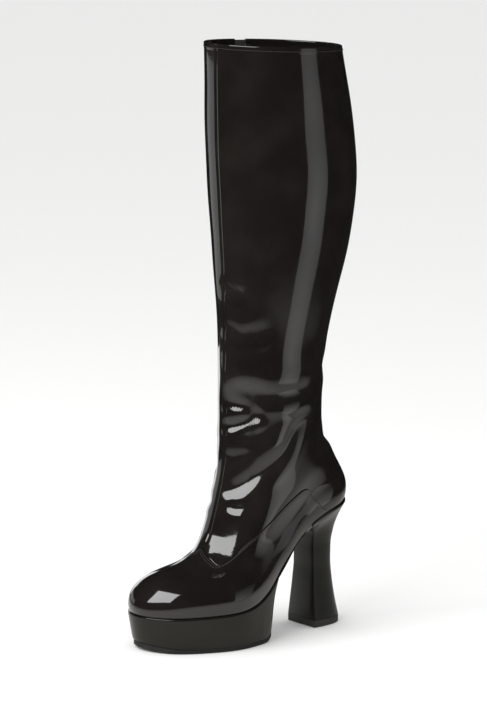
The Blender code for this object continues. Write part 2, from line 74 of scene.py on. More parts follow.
PLAN: Array = np.array([
    # d, centre_x, fullness
    (0.0, -7.0, 58.0),
    (10.0, -6.2, 58.5),
    (25.0, -4.6, 55.2),
    (45.0, -1.8, 50.9),
    (60.0, 0.6, 48.7),
    (78.0, 2.8, 44.7),
    (105.0, 4.0, 36.0),
    (130.0, 3.4, 30.5),
    (155.0, 1.2, 31.6),
    (180.0, 0.2, 40.2),
    (197.0, 0.0, 47.9),
    (214.0, 0.0, 49.0),
])
SOLE: Array = np.array([
    # d, z of the line where the upper meets the sole
    (-5.0, 31.2),
    (20.0, 31.2),
    (50.0, 31.8),
    (75.0, 33.0),
    (92.0, 36.5),
    (110.0, 46.0),
    (126.0, 61.5),
    (148.0, 85.0),
    (165.0, 97.5),
    (181.0, 105.0),
    (200.0, 109.5),
    (220.0, 111.4),
])
RINGS: Array = np.array([
    # front_d, front_z, back_d, back_z, half_oval, foot, bulge
    (2.0, 31.2, 213.0, 110.9, 36.0, 1.00, 1.00),
    (0.9, 36.0, 214.2, 114.5, 36.0, 1.00, 1.02),
    (1.5, 42.0, 215.0, 120.0, 36.0, 1.00, 1.03),
    (4.0, 48.5, 215.0, 124.5, 36.0, 0.98, 1.02),
    (10.0, 54.6, 214.2, 129.0, 36.0, 0.95, 0.99),
    (20.0, 59.8, 212.5, 133.5, 36.0, 0.90, 0.95),
    (43.0, 64.2, 209.5, 139.0, 36.0, 0.80, 0.93),
    (57.7, 72.0, 206.0, 144.5, 36.0, 0.70, 0.94),
    (66.0, 81.7, 202.0, 151.0, 36.0, 0.58, 0.97),
    (73.3, 96.3, 198.0, 158.0, 36.0, 0.42, 1.00),
    (81.2, 122.4, 192.5, 166.5, 36.0, 0.20, 1.00),
    (86.5, 140.4, 188.5, 176.5, 36.0, 0.06, 1.00),
    (89.2, 160.0, 187.0, 187.0, 36.0, 0.00, 1.00),
    (89.4, 182.0, 187.2, 202.0, 36.0, 0.00, 1.00),
    (89.8, 215.0, 188.4, 224.0, 36.3, 0.00, 1.00),
    (90.0, 249.0, 191.0, 251.0, 37.2, 0.00, 1.00),
    (89.2, 296.0, 201.5, 296.0, 45.0, 0.00, 1.00),
    (87.2, 345.0, 213.0, 345.0, 54.0, 0.00, 1.00),
    (83.6, 396.0, 219.0, 397.0, 58.5, 0.00, 1.00),
    (81.8, 446.0, 213.0, 446.0, 57.6, 0.00, 1.00),
    (81.3, 510.0, 201.0, 505.0, 55.5, 0.00, 1.00),
])
VAMP_SEAM: Array = np.array([
    # angle from the front, level of the vamp's top edge
    (0.0, 8.0),
    (20.0, 7.2),
    (36.0, 6.6),
    (46.0, 7.6),
    (58.0, 8.2),
    (83.0, 8.4),
    (100.0, 8.0),
    (108.0, 7.4),
    (120.0, 4.4),
    (131.0, 0.6),
    (180.0, 0.6),
])
UNDERSIDE: Array = np.array([
    # d, z, pinch of the platform's lower edge
    (30.0, 0.0, 1.00),
    (55.0, 0.0, 1.00),
    (80.0, 0.0, 1.00),
    (100.0, 0.0, 1.00),
    (106.0, 0.0, 0.98),
    (110.5, 0.9, 0.96),
    (114.5, 3.2, 0.93),
    (117.6, 6.8, 0.89),
    (119.6, 11.4, 0.86),
    (120.7, 17.5, 0.84),
    (121.2, 26.0, 0.84),
    (121.8, 37.0, 0.86),
    (124.0, 45.5, 0.89),
    (128.0, 51.5, 0.92),
    (133.0, 57.8, 0.94),
    (140.0, 66.3, 0.95),
    (148.0, 74.8, 0.95),
    (156.0, 81.0, 0.95),
    (162.6, 85.2, 0.95),
])
HEEL: Array = np.array([
    # front_z, back_z, breast_d, back_d, half_width
    (6.3, 6.3, 172.8, 209.4, 19.2),
    (20.0, 20.0, 173.3, 206.2, 17.4),
    (38.0, 38.0, 174.2, 203.2, 15.4),
    (55.0, 55.0, 175.0, 201.6, 14.2),
    (70.0, 70.0, 175.0, 202.0, 14.0),
    (79.0, 83.0, 174.2, 204.6, 15.2),
    (85.0, 93.0, 171.6, 207.8, 18.2),
    (88.5, 101.5, 167.0, 211.2, 22.6),
    (91.0, 107.0, 163.8, 213.6, 26.4),
])


# millimetres above the vamp's edge of the rows that round it off
EDGE_ROWS: Array = np.array([
    -1.9, -1.4, -1.0, -0.7, -0.45, -0.28, -0.15, -0.06, 0.0, 0.06, 0.15, 0.3, 0.5, 0.8, 1.2,
])
# millimetres above the hem's lower edge of the rows at the collar
HEM_ROWS: Array = np.array([-1.4, -0.9, -0.5, -0.2, 0.1, 0.4, 1.0, 1.8, 2.6, 3.3, 3.9, 4.4])


class Slot(Enum):
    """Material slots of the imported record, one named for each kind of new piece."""

    UPPER = "upper_patent"
    INSOLE = "insole_sock"
    PLATFORM = "platform_cover"
    OUTSOLE = "outsole_rubber"
    HEEL = "heel_cover"
    TIP = "tip_rubber"
    TAPE = "zip_tape"


def monotone(knots: Array, values: Array, x: Array) -> Array:
    """Monotone cubic through rows of values, straight on past both ends.

    Each knot's slope is the weighted harmonic mean of its two neighbours' slopes, or nothing where
    they differ in sign, and a Hermite cubic joins the knots.

    Args:
        knots: Rising places of the rows, one dimension.
        values: One row of values for each knot, of any further shape.
        x: Places to work out, one dimension.

    Returns:
        One row of values for each x.
    """
    shape = (-1,) + (1,) * (values.ndim - 1)
    width = np.diff(knots).reshape(shape)
    slope = np.diff(values, axis=0) / width
    before = 2.0 * width[1:] + width[:-1]
    after = width[1:] + 2.0 * width[:-1]
    same = slope[1:] * slope[:-1] > 0.0
    first = np.where(same, slope[:-1], 1.0)
    second = np.where(same, slope[1:], 1.0)
    inner = np.where(same, (before + after) / (before / first + after / second), 0.0)
    tangent = np.concatenate([slope[:1], inner, slope[-1:]])
    i = np.clip(np.searchsorted(knots, x) - 1, 0, len(knots) - 2)
    held = np.clip(x, knots[0], knots[-1])
    t = ((held - knots[i]) / np.diff(knots)[i]).reshape(shape)
    start = values[i] * (1.0 + 2.0 * t) * (1.0 - t) ** 2
    end = values[i + 1] * t * t * (3.0 - 2.0 * t)
    lean = width[i] * (tangent[i] * t * (1.0 - t) ** 2 + tangent[i + 1] * t * t * (t - 1.0))
    past = (x - held).reshape(shape) * np.where(x.reshape(shape) < knots[0], tangent[0], tangent[-1])
    return start + end + lean + past


class SoftCurve:
    """A monotone cubic through a table, averaged under a bell so that its bends have no corners."""

    SAMPLES = 4000

    def __init__(self, knots: Array, values: Array, softness: float) -> None:
        """Works the curve out once on a fine scale.

        Args:
            knots: Rising places of the table's rows.
            values: The table's values there.
            softness: Half-width of the bell, in the knots' unit.
        """
        reach = 3.0 * softness
        wide = np.linspace(knots[0] - 2.0 * reach, knots[-1] + 2.0 * reach, self.SAMPLES)
        step = wide[1] - wide[0]
        half = max(1, int(round(reach / step)))
        bell = np.exp(-0.5 * (np.arange(-half, half + 1) * step / softness) ** 2)
        self.places = wide[half:-half]
        self.heights = np.convolve(monotone(knots, values, wide), bell / bell.sum(), "valid")

    def __call__(self, x: Array) -> Array:
        """The curve's value at each place."""
        return np.interp(x, self.places, self.heights)


def to_world(points: Array) -> Array:
    """Turns (x, d, z) in millimetres into the model's frame in metres."""
    return (points - np.array([0.0, BALL_D, 0.0])) * MM


def unit(vectors: Array) -> Array:
    """Vectors of length one along the last axis."""
    return vectors / np.maximum(np.linalg.norm(vectors, axis=-1, keepdims=True), 1e-12)


def smoothstep(low: float, high: float, x: Array) -> Array:
    """Rises from 0 at low to 1 at high along a cubic with level ends."""
    t = np.clip((x - low) / (high - low), 0.0, 1.0)
    return t * t * (3.0 - 2.0 * t)


def arc_length(path: Array) -> Array:
    """Distance along a path to each of its points."""
    return np.concatenate([[0.0], np.cumsum(np.linalg.norm(np.diff(path, axis=0), axis=1))])


def resample(places: Array, knots: Array, rows: Array) -> Array:
    """Rows of values at given places, on straight lines between the rows at the knots."""
    return np.stack([np.interp(places, knots, column) for column in rows.T], -1)


class Mesher:
    """Puts numpy surfaces into Blender meshes and places the pieces on the model."""

    WELD = 1e-7

    @staticmethod
    def grid_quads(rows: int, columns: int, closed: bool) -> Array:
        """Quads of a grid of points that is numbered row by row.

        Args:
            rows: Number of rows.
            columns: Number of columns.
            closed: Whether the last column joins the first.

        Returns:
            Corner numbers, shaped (rows - 1, column steps, 4).
        """
        steps = columns if closed else columns - 1
        r, c = np.meshgrid(np.arange(rows - 1), np.arange(steps), indexing="ij")
        n = (c + 1) % columns
        low = r * columns
        high = low + columns
        return np.stack([low + c, low + n, high + n, high + c], -1)

    @staticmethod
    def mesh(name: str, points: Array, quads: Array, weld: bool = False) -> bpy.types.Mesh:
        """A smooth-shaded mesh from points in metres and quads.

        Args:
            name: Name of the mesh.
            points: Points, shaped (n, 3).
            quads: Corner numbers, shaped (m, 4).
            weld: Whether points in one place become one, with the faces turned outwards.

        Returns:
            The mesh.
        """
        mesh = bpy.data.meshes.new(name)
        mesh.vertices.add(len(points))
        mesh.vertices.foreach_set("co", np.ascontiguousarray(points, dtype=np.float32).ravel())
        mesh.loops.add(quads.size)
        mesh.loops.foreach_set("vertex_index", np.ascontiguousarray(quads, dtype=np.int32).ravel())
        mesh.polygons.add(len(quads))
        mesh.polygons.foreach_set("loop_start", np.arange(0, quads.size, 4, dtype=np.int32))
        mesh.update(calc_edges=True)
        mesh.validate()
        if weld:
            shape = bmesh.new()
            shape.from_mesh(mesh)
            bmesh.ops.remove_doubles(shape, verts=shape.verts, dist=Mesher.WELD)
            bmesh.ops.recalc_face_normals(shape, faces=shape.faces)
            shape.to_mesh(mesh)
            shape.free()
        mesh.shade_smooth()
        return mesh

    @staticmethod
    def join(parts: list) -> tuple:
        """Puts several lots of points and quads together.

        Args:
            parts: Pairs of points and quads.

        Returns:
            All the points, and all the quads numbered among them.
        """
        starts = np.cumsum([0] + [len(points) for points, _ in parts[:-1]])
        points = np.concatenate([points for points, _ in parts])
        return points, np.concatenate([quads + start for (_, quads), start in zip(parts, starts)])

    @staticmethod
    def solid(name: str, parts: list) -> bpy.types.Mesh:
        """One welded mesh from lots of points in millimetres and quads."""
        points, quads = Mesher.join(parts)
        return Mesher.mesh(name, to_world(points), quads, weld=True)

    @staticmethod
    def place(mesh: bpy.types.Mesh, looks: list, slot: Slot, *nodes: str) -> None:
        """Adds a piece that rides on the boot and stands for the nodes that are named.

        Args:
            mesh: The piece's mesh, whose name it takes.
            looks: Its materials, in order.
            slot: The record's slot that its finish belongs to; not used.
            nodes: Names of the nodes that it stands for.
        """
        piece = bpy.data.objects.new(mesh.name, mesh)
        bpy.context.scene.collection.objects.link(piece)
        for look in looks:
            mesh.materials.append(look)
        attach(piece, BODY)
        if nodes:
            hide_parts(*nodes)
        log.info("%s: %d faces", piece.name, len(mesh.polygons))

    @staticmethod
    def attribute(mesh: bpy.types.Mesh, name: str, values: Array) -> None:
        """Gives every point of a mesh a number that a material can read."""
        layer = mesh.attributes.new(name, "FLOAT", "POINT")
        layer.data.foreach_set("value", np.ascontiguousarray(values, dtype=np.float32).ravel())

    @staticmethod
    def copies(shape: Array, quads: Array, origins: Array, axes: Array) -> tuple:
        """Repeats a small shape in many frames: each corner is origin + shape · axes.

        Args:
            shape: Corners in the shape's own frame, shaped (v, 3).
            quads: Its faces, shaped (f, 4).
            origins: Where the copies go, shaped (n, 3).
            axes: Three unit vectors for each copy, shaped (n, 3, 3).

        Returns:
            Points and quads of all the copies.
        """
        points = origins[:, None, :] + np.einsum("vk,nkj->nvj", shape, axes)
        numbers = quads[None] + (np.arange(len(origins)) * len(shape))[:, None, None]
        return points.reshape(-1, 3), numbers.reshape(-1, 4)

    @staticmethod
    def sweep(path: Array, side: Array, normal: Array, profile: Array) -> tuple:
        """Carries a closed profile along a path: point = path + across · side + height · normal.

        Args:
            path: Points along the path, shaped (n, 3).
            side: Unit vectors across it, shaped (n, 3).
            normal: Unit vectors out of the surface, shaped (n, 3).
            profile: Rows of (across, height), an even number of them.

        Returns:
            Points and quads, with both ends closed.
        """
        count = len(profile)
        across, height = profile[None, :, :1], profile[None, :, 1:]
        points = path[:, None] + across * side[:, None] + height * normal[:, None]
        quads = Mesher.grid_quads(len(path), count, True).reshape(-1, 4)
        i = np.arange(count // 2 - 1)
        cap = np.stack([i, i + 1, count - 2 - i, count - 1 - i], -1)
        last = cap[:, ::-1] + (len(path) - 1) * count
        return points.reshape(-1, 3), np.concatenate([quads, cap, last])


class Value:
    """A shader value: arithmetic on it adds Math nodes."""

    def __init__(self, graph: "Graph", socket: bpy.types.NodeSocket) -> None:
        """Wraps a socket of a graph."""
        self.graph = graph
        self.socket = socket

    def math(self, operation: str, first: object, second: object) -> "Value":
        """A Math node on two values.

        Args:
            operation: The node's operation.
            first: A value or a number.
            second: A value or a number.

        Returns:
            The result.
        """
        made = self.graph.node("ShaderNodeMath", {"operation": operation}, {0: first, 1: second})
        return Value(self.graph, made.outputs[0])

    def __add__(self, other: object) -> "Value":
        """Sum."""
        return self.math("ADD", self, other)

    __radd__ = __add__

    def __mul__(self, other: object) -> "Value":
        """Product."""
        return self.math("MULTIPLY", self, other)

    __rmul__ = __mul__

    def __sub__(self, other: object) -> "Value":
        """Difference."""
        return self.math("SUBTRACT", self, other)

    def __rsub__(self, other: object) -> "Value":
        """A number less this value."""
        return self.math("SUBTRACT", other, self)

    def over(self, low: float, high: float) -> "Value":
        """0 below low, 1 above high, and a straight rise between.

        Args:
            low: Where the rise starts.
            high: Where it ends.

        Returns:
            The share, from 0 to 1.
        """
        feeds = {0: self, 1: low, 2: high, 3: 0.0, 4: 1.0}
        made = self.graph.node("ShaderNodeMapRange", {"clamp": True}, feeds)
        return Value(self.graph, made.outputs[0])


class Graph:
    """The nodes of one material, with a Principled shader at their end."""

    def __init__(self, name: str) -> None:
        """Starts a material of that name.

        Args:
            name: The material's name.
        """
        self.material = bpy.data.materials.new(name)
        self.material.use_nodes = True
        self.tree = self.material.node_tree
        self.shader = self.tree.nodes["Principled BSDF"]

    def node(self, kind: str, settings: dict, sockets: dict) -> bpy.types.Node:
        """Adds a node.

        Args:
            kind: Its type.
            settings: Its own settings, which are set first.
            sockets: Values or links of its inputs, by name or number.

        Returns:
            The node.
        """
        made = self.tree.nodes.new(kind)
        for name, value in settings.items():
            setattr(made, name, value)
        for name, value in sockets.items():
            self.feed(made.inputs[name], value)
        return made

    def feed(self, socket: bpy.types.NodeSocket, value: object) -> None:
        """Links a value to a socket, or sets a number or colour on it.

        Args:
            socket: The input.
            value: A value or an output to link, or else what is set.
        """
        if isinstance(value, Value):
            self.tree.links.new(value.socket, socket)
        elif isinstance(value, bpy.types.NodeSocket):
            self.tree.links.new(value, socket)
        else:
            socket.default_value = value

    def place(self) -> bpy.types.NodeSocket:
        """Object coordinates, in metres in the boot's frame."""
        return self.node("ShaderNodeTexCoord", {}, {}).outputs["Object"]

    def noise(self, scale: float, detail: float = 2.0, stretch: tuple = (1.0, 1.0, 1.0)) -> Value:
        """Cloudy noise on Object coordinates, about 0 to 1.

        Args:
            scale: Clouds in a metre.
            detail: Finer octaves.
            stretch: Scale along each axis.

        Returns:
            The noise.
        """
        spot = self.node("ShaderNodeMapping", {}, {"Vector": self.place(), "Scale": stretch}).outputs[0]
        made = self.node("ShaderNodeTexNoise", {}, {"Vector": spot, "Scale": scale, "Detail": detail})
        return Value(self, made.outputs[0])

    def attribute(self, name: str) -> Value:
        """A number that the mesh holds at its points."""
        made = self.node("ShaderNodeAttribute", {"attribute_name": name}, {})
        return Value(self, made.outputs["Fac"])

    def blend(self, share: Value, first: object, second: object) -> bpy.types.NodeSocket:
        """Mixes two colours, or a colour and a link, by a share.

        Args:
            share: 0 for the first, 1 for the second.
            first: A colour or an output.
            second: A colour or an output.

        Returns:
            The mixed colour.
        """
        ends = [(*end, 1.0) if isinstance(end, tuple) else end for end in (first, second)]
        feeds = {0: share, 6: ends[0], 7: ends[1]}
        return self.node("ShaderNodeMix", {"data_type": "RGBA"}, feeds).outputs[2]

    def relief(self, height: Value, depth: float) -> None:
        """Bumps the shader's normal by a height from 0 to 1.

        Args:
            height: The height.
            depth: What 1 stands for, in metres.
        """
        bump = self.node("ShaderNodeBump", {}, {"Height": height, "Distance": depth, "Strength": 1.0})
        self.feed(self.shader.inputs["Normal"], bump.outputs[0])

    def set(self, **sockets: object) -> None:
        """Feeds the shader's inputs, whose names are written with _ for a space."""
        for name, value in sockets.items():
            self.feed(self.shader.inputs[name.replace("_", " ")], value)


@dataclass(frozen=True)
class PatentFinish:
    """Black patent: a mirror coat with a faint orange peel over a dark, slightly warm base."""

    name: str
    base: tuple = (0.0075, 0.0062, 0.0056)
    worn: tuple = (0.016, 0.014, 0.0125)
    roughness: float = 0.09
    coat: float = 1.0
    coat_roughness: float = 0.03
    specular: float = 0.5
    peel_depth: float = 0.00005
    creased: bool = False

    def build(self) -> bpy.types.Material:
        """Noise clouds the base and its gloss, fine noise makes the peel, and folds get a crinkle.

        Returns:
            The material.
        """
        graph = Graph(self.name)
        clouds = graph.noise(26.0, 4.0)
        smear = graph.noise(140.0, 3.0, (1.0, 1.0, 0.35))
        peel = graph.noise(260.0, 2.0) * 0.8 + graph.noise(900.0, 1.0) * 0.12
        rough = self.roughness + (clouds - 0.5) * 0.05 + (smear - 0.5) * 0.03
        shade = clouds.over(0.42, 0.75) * 0.6
        if self.creased:
            fold = graph.attribute("fold")
            crinkle = graph.noise(520.0, 4.0, (0.6, 0.6, 1.8))
            peel = peel + fold * crinkle * 2.2
            rough = rough + fold * 0.06
            shade = shade + fold * 0.3
        graph.set(
            Base_Color=graph.blend(shade.over(0.0, 1.0), self.base, self.worn),
            Roughness=rough.over(0.0, 1.0),
            Coat_Weight=self.coat,
            Coat_Roughness=self.coat_roughness,
            Specular_IOR_Level=self.specular,
        )
        graph.relief(peel, self.peel_depth)
        return graph.material


@dataclass(frozen=True)
class RubberFinish:
    """Matt moulded rubber with a pebbled skin and scuffed spots."""

    name: str
    base: tuple = (0.011, 0.0105, 0.010)
    scuff: tuple = (0.045, 0.043, 0.040)
    pebble: float = 1500.0
    depth: float = 0.00008

    def build(self) -> bpy.types.Material:
        """Fine noise makes the pebbles, and stretched noise lightens the scuffed spots.

        Returns:
            The material.
        """
        graph = Graph(self.name)
        grain = graph.noise(self.pebble, 2.0)
        marks = graph.noise(180.0, 5.0, (1.0, 0.3, 1.0))
        scuffed = marks.over(0.58, 0.80) * 0.8
        graph.set(
            Base_Color=graph.blend(scuffed, self.base, self.scuff),
            Roughness=0.52 + grain * 0.2 + scuffed * 0.15,
        )
        graph.relief(grain, self.depth)
        return graph.material


@dataclass(frozen=True)
class ClothFinish:
    """Woven cloth: two crossed ribs, with slubs that lighten single threads."""

    name: str
    base: tuple
    light: tuple
    ribs: float
    tilt: float = 0.0
    depth: float = 0.00012

    def ribs_along(self, graph: Graph, turn: float) -> Value:
        """Ribs across the boot's height, turned about its side axis.

        Args:
            graph: The material's nodes.
            turn: Turn in radians.

        Returns:
            Height of the ribs, from 0 to 1.
        """
        turned = {"Vector": graph.place(), "Rotation": (turn, 0.0, 0.0)}
        spot = graph.node("ShaderNodeMapping", {}, turned)
        wave = {"wave_type": "BANDS", "bands_direction": "Z", "wave_profile": "SIN"}
        feeds = {"Vector": spot.outputs[0], "Scale": self.ribs, "Distortion": 0.4, "Detail": 1.0}
        return Value(graph, graph.node("ShaderNodeTexWave", wave, feeds).outputs[1])

    def build(self) -> bpy.types.Material:
        """The mean of the two ribs is the weave's height, and it shades the colour.

        Returns:
            The material.
        """
        graph = Graph(self.name)
        warp = self.ribs_along(graph, self.tilt)
        weft = self.ribs_along(graph, self.tilt + math.pi / 2.0)
        slub = graph.noise(420.0, 3.0, (1.0, 1.0, 0.2))
        weave = warp * 0.5 + weft * 0.5
        graph.set(
            Base_Color=graph.blend((weave * 0.6 + slub * 0.5).over(0.2, 0.9), self.base, self.light),
            Roughness=0.95 - weave * 0.2,
            Sheen_Weight=0.25,
            Sheen_Roughness=0.4,
        )
        graph.relief(weave, self.depth)
        return graph.material


@dataclass(frozen=True)
class EnamelFinish:
    """Black enamel on die-cast metal, rubbed to grey where it is handled."""

    name: str
    base: tuple = (0.010, 0.010, 0.011)
    bare: tuple = (0.20, 0.20, 0.21)
    depth: float = 0.00004

    def build(self) -> bpy.types.Material:
        """Noise rubs the enamel through in specks, which turn metallic and rougher.

        Returns:
            The material.
        """
        graph = Graph(self.name)
        specks = (graph.noise(1100.0, 4.0) * 0.7 + graph.noise(260.0, 2.0) * 0.3).over(0.60, 0.68)
        cast = graph.noise(700.0, 2.0)
        graph.set(
            Base_Color=graph.blend(specks, self.base, self.bare),
            Metallic=specks * 0.9,
            Roughness=0.22 + cast * 0.14 + specks * 0.15,
            Coat_Weight=0.3,
            Coat_Roughness=0.12,
        )
        graph.relief(cast, self.depth)
        return graph.material


@dataclass(frozen=True)
class ThreadFinish:
    """Waxed sewing thread with its twist."""

    name: str
    base: tuple = (0.022, 0.020, 0.018)
    light: tuple = (0.070, 0.065, 0.058)
    depth: float = 0.00005

    def build(self) -> bpy.types.Material:
        """Fine noise shades the strands and roughens their gloss.

        Returns:
            The material.
        """
        graph = Graph(self.name)
        strands = graph.noise(2600.0, 2.0, (1.0, 1.0, 0.5))
        graph.set(
            Base_Color=graph.blend(strands.over(0.3, 0.7), self.base, self.light),
            Roughness=0.42 + strands * 0.2,
        )
        graph.relief(strands, self.depth)
        return graph.material


@dataclass(frozen=True)
class FloorFinish:
    """Pale seamless studio floor with a painted reflection: mirror rays see a painted pool of light close
    to the boot, which fades to dark away from it.
    """

    name: str = "floor_pale"
    base: tuple = (0.92, 0.92, 0.915)
    # painted reflection: the colours that mirror rays see, a painted pool of light near the boot and a
    # painted dark room far off
    near: tuple = (0.50, 0.49, 0.46)
    far: tuple = (0.012, 0.012, 0.0115)
    reach: tuple = (0.22, 0.78)
    to_middle: tuple = (0.0, -0.05, 0.0)

    def build(self) -> bpy.types.Material:
        """Painted reflection: to mirror rays the floor shows a painted pool of light that darkens with
        the distance from the boot, like a small lit sheet.

        Returns:
            The material.
        """
        graph = Graph(self.name)
        path = graph.node("ShaderNodeLightPath", {}, {})
        mirror = Value(graph, path.outputs["Is Glossy Ray"])
        moved = {"Vector": graph.place(), "Location": self.to_middle}
        middle = graph.node("ShaderNodeMapping", {}, moved)
        length = graph.node("ShaderNodeVectorMath", {"operation": "LENGTH"}, {0: middle.outputs[0]})
        away = Value(graph, length.outputs["Value"]).over(*self.reach)
        grain = graph.noise(35.0, 3.0)
        # the painted reflection, a pool of light round the boot that fades to dark, shown only to mirror
        # rays
        sheet = graph.blend(away, self.near, self.far)
        graph.set(
            Base_Color=graph.blend(mirror, self.base, sheet),
            Roughness=0.75 + grain * 0.1,
            Specular_IOR_Level=0.15,
        )
        return graph.material


@dataclass
class LastShape:
    """The upper's outer skin over the last, as a function of an angle and a level."""

    ring_softness: float = 0.34
    plan_softness: float = 4.0
    sole_softness: float = 3.5
    seam_softness: float = 2.0
    seam_gone: float = 0.6
    seam_fade: float = 3.0
    probe: float = 0.02
    probe_levels: int = 500

    def __post_init__(self) -> None:
        """Makes a soft curve of each column of the tables."""
        levels = np.arange(len(RINGS), dtype=float)
        self.rings = [SoftCurve(levels, column, self.ring_softness) for column in RINGS.T]
        self.centre = SoftCurve(PLAN[:, 0], PLAN[:, 1], self.plan_softness)
        self.fullness = SoftCurve(PLAN[:, 0], PLAN[:, 2], self.plan_softness)
        self.sole_z = SoftCurve(SOLE[:, 0], SOLE[:, 1], self.sole_softness)
        self.vamp = SoftCurve(VAMP_SEAM[:, 0], VAMP_SEAM[:, 1], self.seam_softness)
        self.top = float(len(RINGS) - 1)

    def skin(self, angle: Array, level: Array) -> Array:
        """The skin's points.

        A ring runs from its front to its back as (1 - cos angle) / 2. Its height is a share foot of the
        sole's curve and a share 1 - foot of a level ring, and its half-width is the same mix of the
        last's plan and an oval, times sin angle.

        Args:
            angle: Angles in radians.
            level: Ring levels, of the same shape.

        Returns:
            Points (x, d, z) in millimetres.
        """
        front_d, front_z, back_d, back_z, oval, foot, bulge = [column(level) for column in self.rings]
        run = (1.0 - np.cos(angle)) / 2.0
        d = front_d + (back_d - front_d) * run
        over_front = front_z - self.sole_z(front_d)
        over_back = back_z - self.sole_z(back_d)
        on_sole = self.sole_z(d) + over_front + (over_back - over_front) * run
        z = foot * on_sole + (1.0 - foot) * (front_z + (back_z - front_z) * run)
        half = (foot * self.fullness(d) + (1.0 - foot) * oval) * bulge
        return np.stack([foot * self.centre(d) + half * np.sin(angle), d, z], axis=-1)

    def tangents(self, angle: Array, level: Array) -> tuple:
        """The skin's change per radian of angle and per level, by central differences.

        Args:
            angle: Angles in radians.
            level: Ring levels.

        Returns:
            The change round the boot and the change up it.
        """
        step = self.probe
        low = np.maximum(level - step, 0.0)
        high = np.minimum(level + step, self.top)
        round_it = (self.skin(angle + step, level) - self.skin(angle - step, level)) / (2.0 * step)
        up_it = (self.skin(angle, high) - self.skin(angle, low)) / (high - low)[..., None]
        return round_it, up_it

    def normal(self, angle: Array, level: Array) -> Array:
        """Unit vectors out of the skin."""
        return unit(np.cross(*self.tangents(angle, level)))

    def speed(self, angle: Array, level: Array) -> Array:
        """Millimetres of skin in one level."""
        return np.linalg.norm(self.tangents(angle, level)[1], axis=-1)

    def vamp_level(self, angle: Array) -> Array:
        """Level of the vamp's top edge at each angle."""
        turn = np.mod(np.degrees(angle), 360.0)
        return self.vamp(np.minimum(turn, 360.0 - turn))

    def vamp_fade(self, angle: Array) -> Array:
        """1 where the vamp's edge stands proud, falling to 0 where it runs out at the heel."""
        return np.clip((self.vamp_level(angle) - self.seam_gone) / self.seam_fade, 0.0, 1.0)

    def level_at(self, angle: Array, z: Array) -> Array:
        """Levels at which the skin reaches given heights.

        Args:
            angle: Angles in radians, one dimension.
            z: Heights in millimetres, one for each angle.

        Returns:
            One level for each angle.
        """
        levels = np.linspace(0.0, self.top, self.probe_levels)
        heights = self.skin(angle[:, None], np.broadcast_to(levels, (len(angle), len(levels))))[..., 2]
        return np.array([np.interp(at, row, levels) for at, row in zip(z, heights)])

    def plan_half(self, d: Array, front: float, back: float) -> Array:
        """Half-width of the last's plan, rounded off at its two ends by 2 √(share (1 - share))."""
        share = np.clip((d - front) / (back - front), 0.0, 1.0)
        return self.fullness(d) * 2.0 * np.sqrt(share * (1.0 - share))


@dataclass(frozen=True)
class Fold:
    """One crease of the worn upper: a trough along a path, with a soft lip on each side.

    The path is rows of (angle in degrees, height in millimetres). The widths above and below it are
    millimetres too.
    """

    LIP_AT = 1.9
    STEPS = 9

    path: tuple
    depth: float
    above: float = 6.0
    below: float = 5.0
    lip: float = 0.5
    lip_above: float = 0.25
    edge: float = 1.5
    taper: float = 0.28
    crinkle: float = 0.5

    def shape_on(self, shape: LastShape, points: Array) -> tuple:
        """Works the fold out at points of the skin.

        With s the distance from the path, upwards positive, in widths of the slope on that side, the
        trough is -depth · exp(-|s|^edge), and a bell of the share lip stands LIP_AT widths away on each
        side. Towards both ends of the path the fold fades.

        Args:
            shape: The skin.
            points: Points on the skin, shaped (n, 3).

        Returns:
            Height added at each point, and how creased it is from 0 to 1.
        """
        knots = np.array(self.path)
        spans = len(knots) - 1
        share = np.linspace(0.0, float(spans), self.STEPS * spans + 1)
        fine = monotone(np.arange(len(knots), dtype=float), knots, share)
        angle = np.radians(fine[:, 0])
        level = shape.level_at(angle, fine[:, 1])
        line = shape.skin(angle, level)
        up = unit(np.cross(shape.normal(angle, level), np.gradient(line, axis=0)))
        best = np.full(len(points), np.inf)
        signed = np.zeros(len(points))
        along = np.zeros(len(points))
        for k in range(len(line) - 1):
            step = line[k + 1] - line[k]
            part = np.clip((points - line[k]) @ step / (step @ step), 0.0, 1.0)
            off = points - line[k] - part[:, None] * step
            far = np.linalg.norm(off, axis=1)
            closer = far < best
            best = np.where(closer, far, best)
            side = off @ (up[k] + up[k + 1])
            signed = np.where(closer, np.where(side < 0.0, -far, far), signed)
            along = np.where(closer, (k + part) / (len(line) - 1), along)
        s = signed / np.where(signed > 0.0, self.above, self.below)
        ends = smoothstep(0.0, self.taper, along) * smoothstep(0.0, self.taper, 1.0 - along)
        trough = np.exp(-np.abs(s) ** self.edge)
        low_lip = self.lip * np.exp(-((s + self.LIP_AT) ** 2))
        lips = low_lip + self.lip_above * np.exp(-((s - self.LIP_AT) ** 2))
        return ends * self.depth * (lips - trough), ends * trough * min(1.0, self.depth * self.crinkle)


# a fold's last values where it is a shallow flat: no lips, a round edge, a short fade and no crinkles
FLAT: tuple = (0.0, 0.0, 2.0, 0.2, 0.0)
# crinkles for each millimetre of depth where the skin stays taut and mirrors the lamps
TAUT = 0.02

